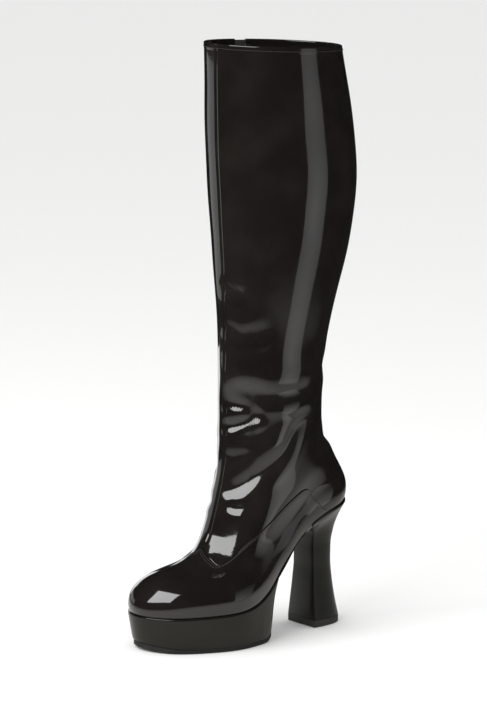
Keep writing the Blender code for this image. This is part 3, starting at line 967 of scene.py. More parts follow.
FOLDS: tuple = (
    # the flat side of the instep and ankle, beside the front seam's ridge
    Fold(((20, 70), (25, 92), (30, 132), (26, 165), (23, 190), (23, 222)), 2.6, 16.0, 16.0, *FLAT),
    Fold(((30, 168), (32, 186), (32, 204), (30, 226)), 1.8, 16.0, 16.0, *FLAT),
    Fold(((-34, 51), (-8, 51), (16, 50), (42, 50)), 1.5, 9.0, 9.0, 0.0, 0.0, 2.0, 0.45, 0.0),
    # outer side and front of the ankle
    Fold(((4, 224), (30, 218), (70, 212), (104, 214), (128, 226)), 2.2, 8.0, 6.0),
    Fold(
        ((-20, 203), (6, 204), (24, 203), (36, 201), (46, 197), (54, 192)),
        3.9, 12.0, 4.2, 0.0, taper=0.3, crinkle=TAUT,
    ),
    Fold(
        ((-16, 184), (6, 185), (24, 188), (36, 191), (48, 194), (62, 195)),
        2.5, 4.2, 4.2, 0.3, taper=0.25, crinkle=TAUT,
    ),
    Fold(((8, 174), (36, 177), (70, 187), (100, 197), (128, 204)), 0.6, 6.0, 9.0, 0.0),
    Fold(
        ((2, 126), (24, 134), (55, 147), (78, 162), (92, 181), (120, 196)),
        3.0, 7.0, 6.0, 0.15, taper=0.22,
    ),
    Fold(((-8, 160), (12, 158), (30, 160), (48, 166)), 1.0, 5.0, 9.0, 0.2),
    Fold(((14, 119), (30, 117), (46, 119)), 1.0, 4.0, 3.5, 0.3),
    # where the vamp bends
    Fold(((-14, 67.5), (0, 66.5), (16, 65), (32, 62.5), (46, 59)), 0.7, 4.0, 3.2, 0.6, crinkle=0.3),
    Fold(((8, 70), (22, 68.5), (38, 66), (52, 62)), 0.6, 3.6, 3.0, 0.6, crinkle=0.3),
    # front of the shin
    Fold(((-10, 305), (4, 303), (20, 299), (34, 298)), 1.6, 5.0, 4.5, 0.4),
    Fold(((-8, 273), (8, 269), (26, 264), (44, 266), (60, 273)), 1.8, 6.0, 5.0, 0.4),
    # back of the ankle
    Fold(((118, 172), (140, 167), (162, 168), (184, 173)), 1.0, 6.0, 5.0),
    Fold(((128, 240), (150, 231), (176, 232), (205, 239)), 1.2, 8.0, 7.0),
    # inner side
    Fold(((-118, 214), (-92, 208), (-62, 212), (-40, 222)), 2.0, 7.0, 6.0),
    Fold(((-104, 180), (-78, 176), (-52, 183), (-28, 194)), 2.2, 6.0, 5.5, 0.6),
    Fold(((-96, 150), (-70, 146), (-44, 150), (-20, 143)), 2.2, 6.0, 5.0, 0.6),
    Fold(((-84, 124), (-60, 120), (-36, 117), (-10, 120)), 1.3, 4.5, 4.0),
    Fold(((-150, 190), (-126, 186), (-104, 192)), 1.2, 6.0, 5.0),
)


@dataclass
class Upper:
    """Vamp and shaft as one hollow skin: folds, the vamp's step, seams, hem and the slit for the zip."""

    shape: LastShape
    folds: tuple = FOLDS
    wall: float = 1.8
    vamp_step: float = 0.9
    edge_round: float = 0.45
    seam_room: float = 2.4
    seam_start: float = 1.8
    # share of the step, place and width of the line pressed in above the vamp's edge
    sunk: tuple = (0.14, 0.15, 0.25)
    hem: float = 4.6
    hem_start: float = 9.0
    hem_rise: float = 0.22
    hem_soft: float = 0.5
    # depth and width of a closed seam, then share of that depth, place and width of its welts
    groove: tuple = (0.45, 0.9)
    welt: tuple = (0.4, 2.6, 1.4)
    slack: float = 0.22
    # heights between which the slack sets in, its two lengths, and heights between which folds reach
    slack_from: tuple = (180.0, 260.0)
    wave_lengths: tuple = (13.0, 47.0)
    folded: tuple = (25.0, 335.0)
    # d and z of the zip's two ends
    zip_bottom: tuple = (134.8, 84.0)
    zip_top: tuple = (147.0, 508.0)
    slit: float = 11.0
    zip_stiff: float = 20.0
    facing_rows: int = 14
    roll_turns: tuple = (36.0, 72.0, 108.0, 144.0)
    crowding: float = 2.2
    ankle_share: float = 0.18
    ankle_spread: float = 0.16
    vamp_rows: int = 44
    shaft_rows: int = 190

    def __post_init__(self) -> None:
        """Lays the rows out and finds the slit's two edges on them."""
        self.rows = self.lay_rows()
        self.slit_back = self.rail(self.slit / 2.0)
        self.slit_front = self.rail(-self.slit / 2.0)
        middle = self.rail(0.0)[:, None]
        heights = self.shape.skin(middle, self.level(middle))[:, 0, 2]
        self.slit_start = int(np.argmax(heights > self.zip_bottom[1]))

    def crowd(self, count: int) -> Array:
        """Shares from the vamp's edge to the collar that stand closer where the ankle folds.

        The density of the rows is 1 plus a bell, and their places are its running sum turned round.

        Args:
            count: Number of rows.

        Returns:
            Rising shares, of which the last is 1.
        """
        grid = np.linspace(0.0, 1.0, 400)
        density = 1.0 + self.crowding * np.exp(-(((grid - self.ankle_share) / self.ankle_spread) ** 2))
        pace = np.cumsum(density) - density[0]
        return np.interp(np.linspace(0.0, 1.0, count + 1)[1:], pace / pace[-1], grid)

    def lay_rows(self) -> Array:
        """Rows from the sole to the collar.

        Returns:
            For each row: its share of the vamp edge's level, its share of the top level, millimetres
            above the vamp's edge and above the collar, the share of the vamp's step and the hem's rise.
        """
        share = np.linspace(0.0, 1.0, self.vamp_rows)
        none = np.zeros_like(share)
        below = np.stack([share, none, -self.seam_room * share, none, share**2, none], -1)
        off = EDGE_ROWS
        inward = np.clip((off + self.edge_round) / self.edge_round, 0.0, 1.0)
        depth, place, wide = self.sunk
        pressed = -depth * np.exp(-(((off - place) / wide) ** 2))
        lift = np.where(off < 0.0, np.sqrt(1.0 - inward**2), pressed)
        none = np.zeros_like(off)
        edge = np.stack([none + 1.0, none, off, none, lift, none], -1)
        share = self.crowd(self.shaft_rows)
        none = np.zeros_like(share)
        rest = 1.0 - share
        above = np.stack([rest, share, self.seam_start * rest, -self.hem_start * share, none, none], -1)
        down = HEM_ROWS - self.hem
        rise = self.hem_rise * smoothstep(-self.hem - self.hem_soft, -self.hem + self.hem_soft, down)
        none = np.zeros_like(down)
        collar = np.stack([none, none + 1.0, none, down, none, rise], -1)
        return np.concatenate([below, edge, above, collar])

    def level(self, angle: Array) -> Array:
        """Ring levels of all the rows at given angles.

        Args:
            angle: Angles in radians, one row of them for each of the upper's rows.

        Returns:
            Levels of the same shape.
        """
        seam_share, top_share, from_seam, from_top = [self.rows[:, k, None] for k in range(4)]
        seam = self.shape.vamp_level(angle)
        pace = self.shape.speed(angle, seam)
        room = np.minimum(1.0, seam * pace / (2.0 * self.seam_room))
        top = np.full_like(angle, self.shape.top)
        return (
            seam_share * seam
            + top_share * top
            + from_seam * room / pace
            + from_top / self.shape.speed(angle, top)
        )

    def zip_d(self, z: Array) -> Array:
        """Place of the zip's straight line at each height."""
        share = (z - self.zip_bottom[1]) / (self.zip_top[1] - self.zip_bottom[1])
        return self.zip_bottom[0] + (self.zip_top[0] - self.zip_bottom[0]) * share

    def rail(self, offset: float) -> Array:
        """Angles at which each row crosses a line beside the zip.

        Args:
            offset: Millimetres behind the zip's middle.

        Returns:
            One angle for each row, in radians.
        """
        angle = np.radians(np.linspace(190.0, 350.0, 321))
        spread = np.broadcast_to(angle, (len(self.rows), len(angle)))
        points = self.shape.skin(spread, self.level(spread))
        gap = self.zip_d(points[..., 2]) + offset - points[..., 1]
        return np.array([np.interp(0.0, row, angle) for row in gap])

    def columns(self) -> Array:
        """Angles of the grid: front to back, back to the slit, across the slit, slit to the front.

        Returns:
            Angles in radians, one row of them for each of the upper's rows.
        """
        outer = np.union1d(np.linspace(0.0, 1.0, 85), [0.003, 0.007, 0.993, 0.997])[:-1]
        back = np.union1d(np.linspace(0.0, 1.0, 37), [0.007, 0.015])[:-1]
        across = np.linspace(0.0, 1.0, 7)[:-1]
        front = np.union1d(np.linspace(0.0, 1.0, 41), [0.985, 0.993])[:-1]
        self.first = len(outer) + len(back)
        self.last = self.first + len(across)
        low = self.slit_back[:, None]
        high = self.slit_front[:, None]
        parts = (
            np.broadcast_to(outer * math.pi, (len(low), len(outer))),
            math.pi + (low - math.pi) * back,
            low + (high - low) * across,
            high + (2.0 * math.pi - high) * front,
        )
        return np.concatenate(parts, axis=1)

    def seams(self, angle: Array, level: Array) -> Array:
        """Closed seams down the front of the shaft and down its back: a groove between two low welts.

        Args:
            angle: Angles in radians.
            level: Ring levels there.

        Returns:
            Height added to the skin.
        """
        girth = np.linalg.norm(self.shape.tangents(angle, level)[0], axis=-1)
        front = np.abs(np.mod(angle + math.pi, 2.0 * math.pi) - math.pi) * girth
        back = np.abs(angle - math.pi) * girth
        depth, wide = self.groove
        on_shaft = smoothstep(0.0, 0.5, level - self.shape.vamp_level(angle) - 0.1)
        height, aside, spread = self.welt
        cut = [
            height * np.exp(-(((s - aside) / spread) ** 2)) - np.exp(-((s / wide) ** 2))
            for s in (front, back)
        ]
        return depth * (cut[0] * on_shaft + cut[1])

    def surface(self, angle: Array) -> tuple:
        """The worn skin on all the rows.

        Folds, seams, the vamp's step, the hem and a slow waviness are added along the last's normal, and
        the folds die out beside the stiff zip.

        Args:
            angle: Angles in radians, one row of them for each of the upper's rows.

        Returns:
            Points in millimetres, unit normals, and how creased each point is.
        """
        level = self.level(angle)
        points = self.shape.skin(angle, level)
        normal = self.shape.normal(angle, level)
        flat = points.reshape(-1, 3)
        near = np.flatnonzero((flat[:, 2] > self.folded[0]) & (flat[:, 2] < self.folded[1]))
        shaped = [fold.shape_on(self.shape, flat[near]) for fold in self.folds]
        height = np.zeros(len(flat))
        crease = np.zeros(len(flat))
        height[near] = sum(rise for rise, _ in shaped)
        crease[near] = np.clip(sum(mark for _, mark in shaped), 0.0, 1.0)
        x, d, z = np.moveaxis(points, -1, 0)
        aside = np.maximum(np.abs(d - self.zip_d(z)) - self.slit / 2.0, 0.0)
        free = np.where(x < 0.0, 1.0 - np.exp(-((aside / self.zip_stiff) ** 2)), 1.0)
        short, long = self.wave_lengths
        wave = np.sin(z / short + 2.0 * np.sin(angle)) * np.sin(3.0 * angle + z / long)
        loose = self.slack * wave * smoothstep(*self.slack_from, z)
        step = self.rows[:, 4, None] * self.vamp_step * self.shape.vamp_fade(angle)
        rise = step + self.rows[:, 5, None] + self.seams(angle, level) + free * loose
        rise = rise + free * height.reshape(angle.shape)
        return points + normal * rise[..., None], normal, crease.reshape(angle.shape) * free

    def skin_mesh(self) -> bpy.types.Mesh:
        """The closed skin: outside, a rolled collar edge and the inside a wall's thickness within.

        Returns:
            The mesh, with its faces' material numbers: 0 patent, 1 lining.
        """
        angle = self.columns()
        outer, normal, crease = self.surface(angle)
        inner = outer - normal * self.wall
        up = unit(self.shape.tangents(angle[-1:], self.level(angle)[-1:])[1])
        turn = np.radians(self.roll_turns)[:, None, None]
        middle = (outer[-1:] + inner[-1:]) / 2.0
        roll = middle + self.wall / 2.0 * (np.cos(turn) * normal[-1:] + np.sin(turn) * up)
        points = np.concatenate([outer, roll, inner[::-1]])
        total, columns = points.shape[:2]
        rows = len(outer)
        quads = Mesher.grid_quads(total + 1, columns, True)
        quads = np.where(quads >= total * columns, quads - total * columns, quads)
        lining = np.zeros((total, columns), dtype=np.int32)
        lining[total - rows + self.facing_rows :] = 1
        keep = np.ones((total, columns), dtype=bool)
        keep[self.slit_start : total - 1 - self.slit_start, self.first : self.last] = False
        walls = self.slit_walls(rows, total, columns)
        faces = np.concatenate([quads[keep], walls])
        numbers = np.concatenate([lining[keep], np.zeros(len(walls), dtype=np.int32)])
        mesh = Mesher.mesh("upper_skin", to_world(points.reshape(-1, 3)), faces, weld=True)
        mesh.polygons.foreach_set("material_index", numbers)
        marks = np.concatenate([crease, np.zeros(roll.shape[:2]), crease[::-1]])
        Mesher.attribute(mesh, "fold", marks)
        return mesh

    def slit_walls(self, rows: int, total: int, columns: int) -> Array:
        """Faces that close the wall along the slit's two sides and its lower end.

        Args:
            rows: Rows of the outside.
            total: Rows of the whole skin, where row total - 1 - r lies inside row r.
            columns: Columns of the grid.

        Returns:
            Corner numbers, shaped (n, 4).
        """
        r = np.arange(self.slit_start, rows - 1)
        sides = []
        wall = np.stack([r, r + 1, total - 2 - r, total - 1 - r], -1) * columns
        # the rolled edge's four rows follow the outside's last row
        cap = np.array([[-1, 0, 3, 4], [0, 1, 2, 3]]) * columns + rows * columns
        for column in (self.first, self.last):
            sides += [wall + column, cap + column]
        c = np.arange(self.first, self.last)
        low = self.slit_start * columns
        high = (total - 1 - self.slit_start) * columns
        sides.append(np.stack([low + c, low + c + 1, high + c + 1, high + c], -1))
        return np.concatenate(sides)

    def build(self, patent: bpy.types.Material, lining: bpy.types.Material) -> None:
        """Adds the skin in its two materials."""
        Mesher.place(self.skin_mesh(), [patent, lining], Slot.UPPER, "upper")


@dataclass(frozen=True)
class Thread:
    """A row of sewn stitches: short arched spindles of thread."""

    pitch: float = 3.0
    length: float = 2.4
    radius: float = 0.25
    arch: float = 0.16

    def spindle(self) -> tuple:
        """One stitch along its first axis: its radius swells in the middle and its line arches up.

        Returns:
            Points and quads.
        """
        along = np.array([-0.5, -0.36, 0.0, 0.36, 0.5])
        radius = self.radius * np.array([0.3, 0.85, 1.0, 0.85, 0.3])
        turn = np.radians(np.arange(6) * 60.0)
        ring = np.stack([np.zeros(6), np.cos(turn), np.sin(turn)], -1)
        centre = np.stack([along * self.length, np.zeros(5), self.arch * (1.0 - 4.0 * along**2)], -1)
        points = centre[:, None] + ring[None] * radius[:, None, None]
        quads = Mesher.grid_quads(5, 6, True).reshape(-1, 4)
        cap = np.array([[0, 1, 2, 3], [3, 4, 5, 0]])
        return points.reshape(-1, 3), np.concatenate([quads, cap, cap + 24])

    def row(self, path: Array, normal: Array) -> tuple:
        """Stitches at even steps along a path.

        Args:
            path: Points along the row, shaped (n, 3).
            normal: The surface's normals there.

        Returns:
            Points and quads.
        """
        arc = arc_length(path)
        spots = np.arange(self.pitch / 2.0, arc[-1], self.pitch)
        place = resample(spots, arc, path)
        out = unit(resample(spots, arc, normal))
        ahead = resample(spots, arc, np.gradient(path, axis=0))
        ahead = unit(ahead - out * (ahead * out).sum(-1, keepdims=True))
        return Mesher.copies(*self.spindle(), place, np.stack([ahead, np.cross(out, ahead), out], 1))


@dataclass
class Sewing:
    """Visible stitches: a double row on the vamp's edge, the collar's hem and both sides of the zip."""

    upper: Upper
    thread: Thread = Thread()
    vamp_rows: tuple = (1.7, 3.9)
    vamp_end: float = 122.0
    hem_row: float = 3.2
    zip_row: float = 9.2
    zip_room: float = 1.0
    zip_end: int = 8

    def spared(self, path: Array, normal: Array) -> list:
        """Cuts a path where it crosses the zip.

        Args:
            path: Points of a path round the boot.
            normal: Normals there.

        Returns:
            The stitch rows on either side of the zip.
        """
        gap = np.abs(path[:, 1] - self.upper.zip_d(path[:, 2])) < self.zip_row + self.zip_room
        crossing = np.flatnonzero(gap & (path[:, 0] < 0.0))
        ends = (crossing[0], crossing[-1]) if len(crossing) else (len(path), len(path))
        runs = (slice(0, ends[0]), slice(ends[1], len(path)))
        return [self.thread.row(path[run], normal[run]) for run in runs if len(path[run]) > 4]

    def vamp(self) -> list:
        """Two rows below the vamp's edge, on top of its step.

        Returns:
            Points and quads of each row.
        """
        shape = self.upper.shape
        angle = np.radians(np.linspace(-self.vamp_end, self.vamp_end, 700))
        seam = shape.vamp_level(angle)
        made = []
        for down in self.vamp_rows:
            level = seam - down / shape.speed(angle, seam)
            normal = shape.normal(angle, level)
            lift = self.upper.vamp_step * shape.vamp_fade(angle) * (level / seam) ** 2
            made += self.spared(shape.skin(angle, level) + normal * lift[:, None], normal)
        return made

    def collar(self) -> list:
        """One row along the hem.

        Returns:
            Points and quads on either side of the zip.
        """
        shape = self.upper.shape
        angle = np.radians(np.linspace(0.0, 359.5, 720))
        top = np.full_like(angle, shape.top)
        level = top - self.hem_row / shape.speed(angle, top)
        normal = shape.normal(angle, level)
        return self.spared(shape.skin(angle, level) + normal * self.upper.hem_rise, normal)

    def zip_sides(self) -> list:
        """One row on each side of the slit.

        Returns:
            Points and quads of each row.
        """
        made = []
        for offset in (-self.zip_row, self.zip_row):
            path, normal, _ = self.upper.surface(self.upper.rail(offset)[:, None])
            run = slice(self.upper.slit_start, len(path) - self.zip_end)
            made.append(self.thread.row(path[run, 0], normal[run, 0]))
        return made

    def build(self, look: bpy.types.Material) -> None:
        """Adds the stitches as one piece on the upper."""
        mesh = Mesher.solid("upper_stitches", self.vamp() + self.collar() + self.zip_sides())
        Mesher.place(mesh, [look], Slot.UPPER)


@dataclass
class Zip:
    """Zip in the slit: woven tape, a closed coil of nylon teeth and the slit's folded edges."""

    upper: Upper
    low: float = 84.4
    coil_top: float = 503.0
    tape_top: float = 509.0
    tape_half: float = 5.2
    tape_depth: float = 1.0
    tooth_pitch: float = 1.7
    tooth_long: float = 2.9
    tooth_radius: float = 0.5
    tooth_depth: float = 0.35
    tooth_aside: float = 1.15
    tooth_arch: float = 0.18
    coil_room: float = 0.6
    bead_radius: float = 0.8
    bead_sunk: float = 0.7
    steps: int = 380

    def line(self, top: float) -> tuple:
        """The zip's middle on the last.

        Args:
            top: Height at which it ends.

        Returns:
            Points at every millimetre or so, vectors across and out of the skin there.
        """
        angle = self.upper.rail(0.0)[:, None]
        level = self.upper.level(angle)
        rows = self.upper.shape.skin(angle, level)[:, 0]
        out = self.upper.shape.normal(angle, level)[:, 0]
        z = np.linspace(self.low, top, self.steps)
        path = resample(z, rows[:, 2], rows)
        normal = unit(resample(z, rows[:, 2], out))
        return path, unit(np.cross(normal, np.gradient(path, axis=0))), normal

    def tape(self, look: bpy.types.Material) -> None:
        """Tape: a flat band carried along the zip's middle, sunk below the skin.

        Args:
            look: Its material.
        """
        half, top = self.tape_half, -self.tape_depth
        profile = np.array([
            (-half, top),
            (-half * 0.5, top + 0.06),
            (half * 0.5, top + 0.06),
            (half, top),
            (half, top - 0.9),
            (half * 0.5, top - 0.95),
            (-half * 0.5, top - 0.95),
            (-half, top - 0.9),
        ])
        mesh = Mesher.solid("zip_band", [Mesher.sweep(*self.line(self.tape_top), profile)])
        mesh.set_sharp_from_angle(angle=math.radians(50.0))
        Mesher.place(mesh, [look], Slot.TAPE, "zip")

    def coil(self, look: bpy.types.Material) -> None:
        """Teeth from both sides that pass each other in the middle, half a pitch apart.

        Args:
            look: Its material.
        """
        path, side, normal = self.line(self.coil_top)
        arc = arc_length(path)
        tooth = Thread(length=self.tooth_long, radius=self.tooth_radius, arch=self.tooth_arch).spindle()
        parts = []
        for sign, later in ((-1.0, 0.0), (1.0, self.tooth_pitch / 2.0)):
            spots = np.arange(self.coil_room + later, arc[-1] - self.coil_room, self.tooth_pitch)
            across = unit(resample(spots, arc, side))
            out = unit(resample(spots, arc, normal))
            aside = across * sign * self.tooth_aside - out * self.tooth_depth
            axes = np.stack([across, np.cross(out, across), out], 1)
            parts.append(Mesher.copies(*tooth, resample(spots, arc, path) + aside, axes))
        Mesher.place(Mesher.solid("zip_coil", parts), [look], Slot.TAPE, "zip")

    def edges(self, look: bpy.types.Material) -> None:
        """A folded edge along each side of the slit: a round bead carried along it.

        Args:
            look: Its material.
        """
        turn = np.radians(np.arange(8) * 45.0 + 22.5)
        ring = self.bead_radius * np.stack([np.cos(turn), np.sin(turn) - self.bead_sunk], -1)
        parts = []
        for offset in (-self.upper.slit / 2.0, self.upper.slit / 2.0):
            rail, normal, _ = self.upper.surface(self.upper.rail(offset)[:, None])
            path, out = rail[self.upper.slit_start :, 0], normal[self.upper.slit_start :, 0]
            side = unit(np.cross(out, np.gradient(path, axis=0)))
            parts.append(Mesher.sweep(path, side, out, ring))
        Mesher.place(Mesher.solid("zip_edges", parts), [look], Slot.UPPER)


class LoopSolid:
    """Closed solids whose outer and inner sides share d and z, station by station."""

    @staticmethod
    def mesh(name: str, loops: Array, across: int, tread: Array, sharp: float) -> bpy.types.Mesh:
        """Joins a stack of loops and closes its two ends with sheets that run straight across.

        Args:
            name: Name of the mesh.
            loops: Values (d, centre, half, z) from the lowest loop to the highest, shaped
                (levels, stations, 4).
            across: Faces across each end sheet.
            tread: Height added to the lowest sheet, shaped (stations, across + 1).
            sharp: Edges sharper than this many degrees stay sharp.

        Returns:
            The mesh.
        """
        d, centre, half, z = np.moveaxis(loops, -1, 0)
        outer = np.stack([centre + half, d, z], -1)
        inner = np.stack([centre - half, d, z], -1)
        ring = np.concatenate([outer, inner[:, ::-1]], axis=1)
        levels, around = ring.shape[:2]
        share = np.linspace(0.0, 1.0, across + 1)[None, :, None]
        parts = [(ring.reshape(-1, 3), Mesher.grid_quads(levels, around, True).reshape(-1, 4))]
        for level, lift in ((0, tread), (levels - 1, np.zeros_like(tread))):
            sheet = outer[level][:, None] * (1.0 - share) + inner[level][:, None] * share
            sheet[..., 2] += lift
            quads = Mesher.grid_quads(len(sheet), across + 1, False)
            parts.append((sheet.reshape(-1, 3), quads.reshape(-1, 4)))
        mesh = Mesher.solid(name, parts)
        mesh.set_sharp_from_angle(angle=math.radians(sharp))
        return mesh

    @staticmethod
    def toe(front: float, end: float, count: int) -> Array:
        """Stations that crowd together at a rounded end, as 1 - cos of a quarter turn."""
        turn = np.linspace(0.02, 1.0, count) * math.pi / 2.0
        return front + (end - front) * (1.0 - np.cos(turn))


@dataclass
class Sole:
    """Covered platform with its tail up the arch, the outsole under it and the insole board."""

    shape: LastShape
    front: float = 2.0
    back: float = 213.0
    foot_length: float = 214.0
    ledge: float = 1.3
    ledge_run: float = 12.0
    # d over which the ledge runs out, and heights over which the back corners' rounding does
    ledge_end: tuple = (124.0, 156.0)
    corner: float = 8.0
    corner_at: float = 121.0
    corner_top: tuple = (30.0, 50.0)
    seat_gap: float = 0.35
    outsole_thick: float = 3.8
    outsole_inset: float = 1.8
    outsole_front: float = 4.9
    toe_end: float = 24.0
    toe_fade: float = 45.0
    toe_spring: float = 4.5
    toe_lean: float = 3.4
    side_lean: float = 0.55
    slim_half: float = 20.0
    outsole_end: float = 117.6
    # d, z and pinch where the tail ends under the heel seat
    tail_end: tuple = (168.5, 88.6, 0.95)
    insole_clear: float = 2.5
    insole_thick: float = 2.2
    insole_lift: float = 0.05
    insole_heel: float = 9.0
    tread_pitch: float = 6.5
    tread_depth: float = 0.7
    # the zigzag's swing and run, the phases at a groove's edge, and what stays plain at rim and ends
    tread_zigzag: tuple = (2.5, 9.0)
    tread_groove: tuple = (0.26, 0.34)
    plain_rim: tuple = (3.0, 7.0)
    plain_toe: tuple = (10.0, 16.0)
    plain_back: tuple = (4.0, 9.0)
    tread_across: int = 60
    toe_steps: int = 44
    flat_steps: int = 92
    under_steps: int = 130
    side: Array = field(default_factory=lambda: np.array([
        # share of the height from the top, inset
        (0.000, 0.75),
        (0.012, 0.36),
        (0.035, 0.08),
        (0.070, 0.00),
        (0.300, 0.10),
        (0.600, 0.25),
        (0.900, 0.50),
        (0.960, 0.66),
        (0.985, 0.88),
        (1.000, 1.20),
    ]))

    def toe_rise(self, d: Array) -> Array:
        """Toe spring: the bottom curves up in front of the ball by the square of the distance."""
        return self.toe_spring * np.clip(1.0 - d / UNDERSIDE[0, 0], 0.0, 1.0) ** 2

    def lowest(self, d: Array) -> Array:
        """Lowest line of the sole: sprung at the toe, flat under the ball and rounded up at the back."""
        arch = monotone(UNDERSIDE[:, 0], UNDERSIDE[:, 1], np.maximum(d, UNDERSIDE[0, 0]))
        return arch + self.toe_rise(d)

    def rounding(self, d: Array) -> Array:
        """Quarter circle in plan that rounds the block's two back corners."""
        past = np.clip(d - self.corner_at + self.corner, 0.0, self.corner)
        return self.corner - np.sqrt(self.corner**2 - past**2)

    def underside(self) -> Array:
        """Rows (d, z, pinch) along the underside at even steps of its length.

        Returns:
            The rows, from the toe's tip to the tail's end.
        """
        rows = np.vstack([(self.toe_end, 0.0, 1.0), UNDERSIDE, self.tail_end])
        arc = arc_length(rows[:, :2])
        even = monotone(arc, rows, np.linspace(0.0, arc[-1], self.under_steps))
        toe = LoopSolid.toe(self.front - self.ledge, self.toe_end, self.toe_steps)[:-1]
        flat = np.stack([toe, np.zeros_like(toe), np.ones_like(toe)], -1)
        return np.concatenate([flat, even])

    def platform(self, look: bpy.types.Material) -> None:
        """Platform block: the last's plan with a ledge, leaning in to its bottom edge.

        Args:
            look: Its material.
        """
        d, low, pinch = self.underside().T
        front = self.front - self.ledge
        top = self.shape.sole_z(d) - self.seat_gap
        forward = np.clip(1.0 - d / self.toe_fade, 0.0, 1.0)
        lowest_d = d + (self.toe_lean + self.side[-1, 1]) * forward
        bottom = low + self.outsole_thick + self.seat_gap + self.toe_rise(lowest_d)
        half = self.shape.plan_half(d, front, self.foot_length)
        ledge = np.clip((d - front) / self.ledge_run, 0.0, 1.0) * (1.0 - smoothstep(*self.ledge_end, d))
        half = half + self.ledge * ledge
        corner = self.rounding(d) * (1.0 - smoothstep(*self.corner_top, low))
        share = np.unique(np.concatenate([self.side[:, 0], np.linspace(0.07, 0.9, 12)]))[::-1, None]
        inset = monotone(self.side[:, 0], self.side[:, 1], share[:, 0])[:, None]
        lean = self.toe_lean * share
        drawn = (lean * self.side_lean + inset) * np.clip(half / self.slim_half, 0.0, 1.0)
        moved = d + (lean + inset) * forward
        narrowed = half * (1.0 - share * (1.0 - pinch)) - drawn - corner * smoothstep(0.0, 0.6, share)
        centre = np.broadcast_to(self.shape.centre(d), moved.shape)
        loops = np.stack([moved, centre, narrowed, top + (bottom - top) * share], -1)
        mesh = LoopSolid.mesh("platform_block", loops, 10, np.zeros((len(d), 11)), 48.0)
        Mesher.place(mesh, [look], Slot.PLATFORM, "platform")

    def outsole(self, look: bpy.types.Material) -> None:
        """Outsole: a sheet with a rounded lower edge and zigzag tread grooves.

        Args:
            look: Its material.
        """
        front = self.outsole_front
        toe = LoopSolid.toe(front, self.toe_end, self.toe_steps)
        d = np.concatenate([toe, np.linspace(self.toe_end + 1.0, self.outsole_end, self.flat_steps)])
        pinch = np.where(d < UNDERSIDE[0, 0], 1.0, monotone(UNDERSIDE[:, 0], UNDERSIDE[:, 2], d))
        half = self.shape.plan_half(d, front, self.foot_length) * pinch
        half = half - self.outsole_inset - self.rounding(d)
        low = self.lowest(d)
        # inset and rise of the rounded lower edge and of the straight side
        edge = np.array([(0.45, 0.0), (0.2, 0.12), (0.05, 0.4), (0.0, 0.8), (0.0, self.outsole_thick)])
        centre = self.shape.centre(d)
        loops = np.stack([np.stack([d, centre, half - inset, low + rise], -1) for inset, rise in edge])
        share = np.linspace(-1.0, 1.0, self.tread_across + 1)
        x = share[None] * half[:, None]
        swing, run = self.tread_zigzag
        zigzag = swing * np.abs(np.mod(x / run, 2.0) - 1.0)
        phase = np.abs(np.mod((d[:, None] + zigzag) / self.tread_pitch, 1.0) - 0.5)
        rim = smoothstep(*self.plain_rim, half[:, None] - np.abs(x))
        ends = smoothstep(*self.plain_toe, d) * smoothstep(*self.plain_back, self.outsole_end - d)
        tread = self.tread_depth * smoothstep(*self.tread_groove, phase) * rim * ends[:, None]
        mesh = LoopSolid.mesh("outsole_sheet", loops, self.tread_across, tread, 35.0)
        Mesher.place(mesh, [look], Slot.OUTSOLE, "outsole")

    def insole(self, look: bpy.types.Material) -> None:
        """Insole: a board on the sole's curve, inside the wall, with a softened top edge.

        Args:
            look: Its material.
        """
        front, back = self.front + self.insole_clear, self.back - self.insole_clear
        heel = back - LoopSolid.toe(0.0, self.insole_heel, 20)[::-1]
        toe = LoopSolid.toe(front, self.toe_end, 24)
        d = np.concatenate([toe, np.linspace(self.toe_end, heel[0], 90)[1:-1], heel])
        half = self.shape.plan_half(d, front, back) - self.insole_clear * 0.75
        low = self.shape.sole_z(d) + self.insole_lift
        # inset in millimetres and share of the thickness
        edge = np.array([(0.0, 0.0), (0.0, 0.75), (0.25, 0.93), (0.8, 1.0)])
        soft = np.clip(half / 4.0, 0.0, 1.0)
        centre = self.shape.centre(d)
        thick = self.insole_thick
        loops = np.stack([np.stack([d, centre, half - soft * c, low + thick * h], -1) for c, h in edge])
        mesh = LoopSolid.mesh("insole_board", loops, 12, np.zeros((len(d), 13)), 40.0)
        Mesher.place(mesh, [look], Slot.INSOLE, "insole")


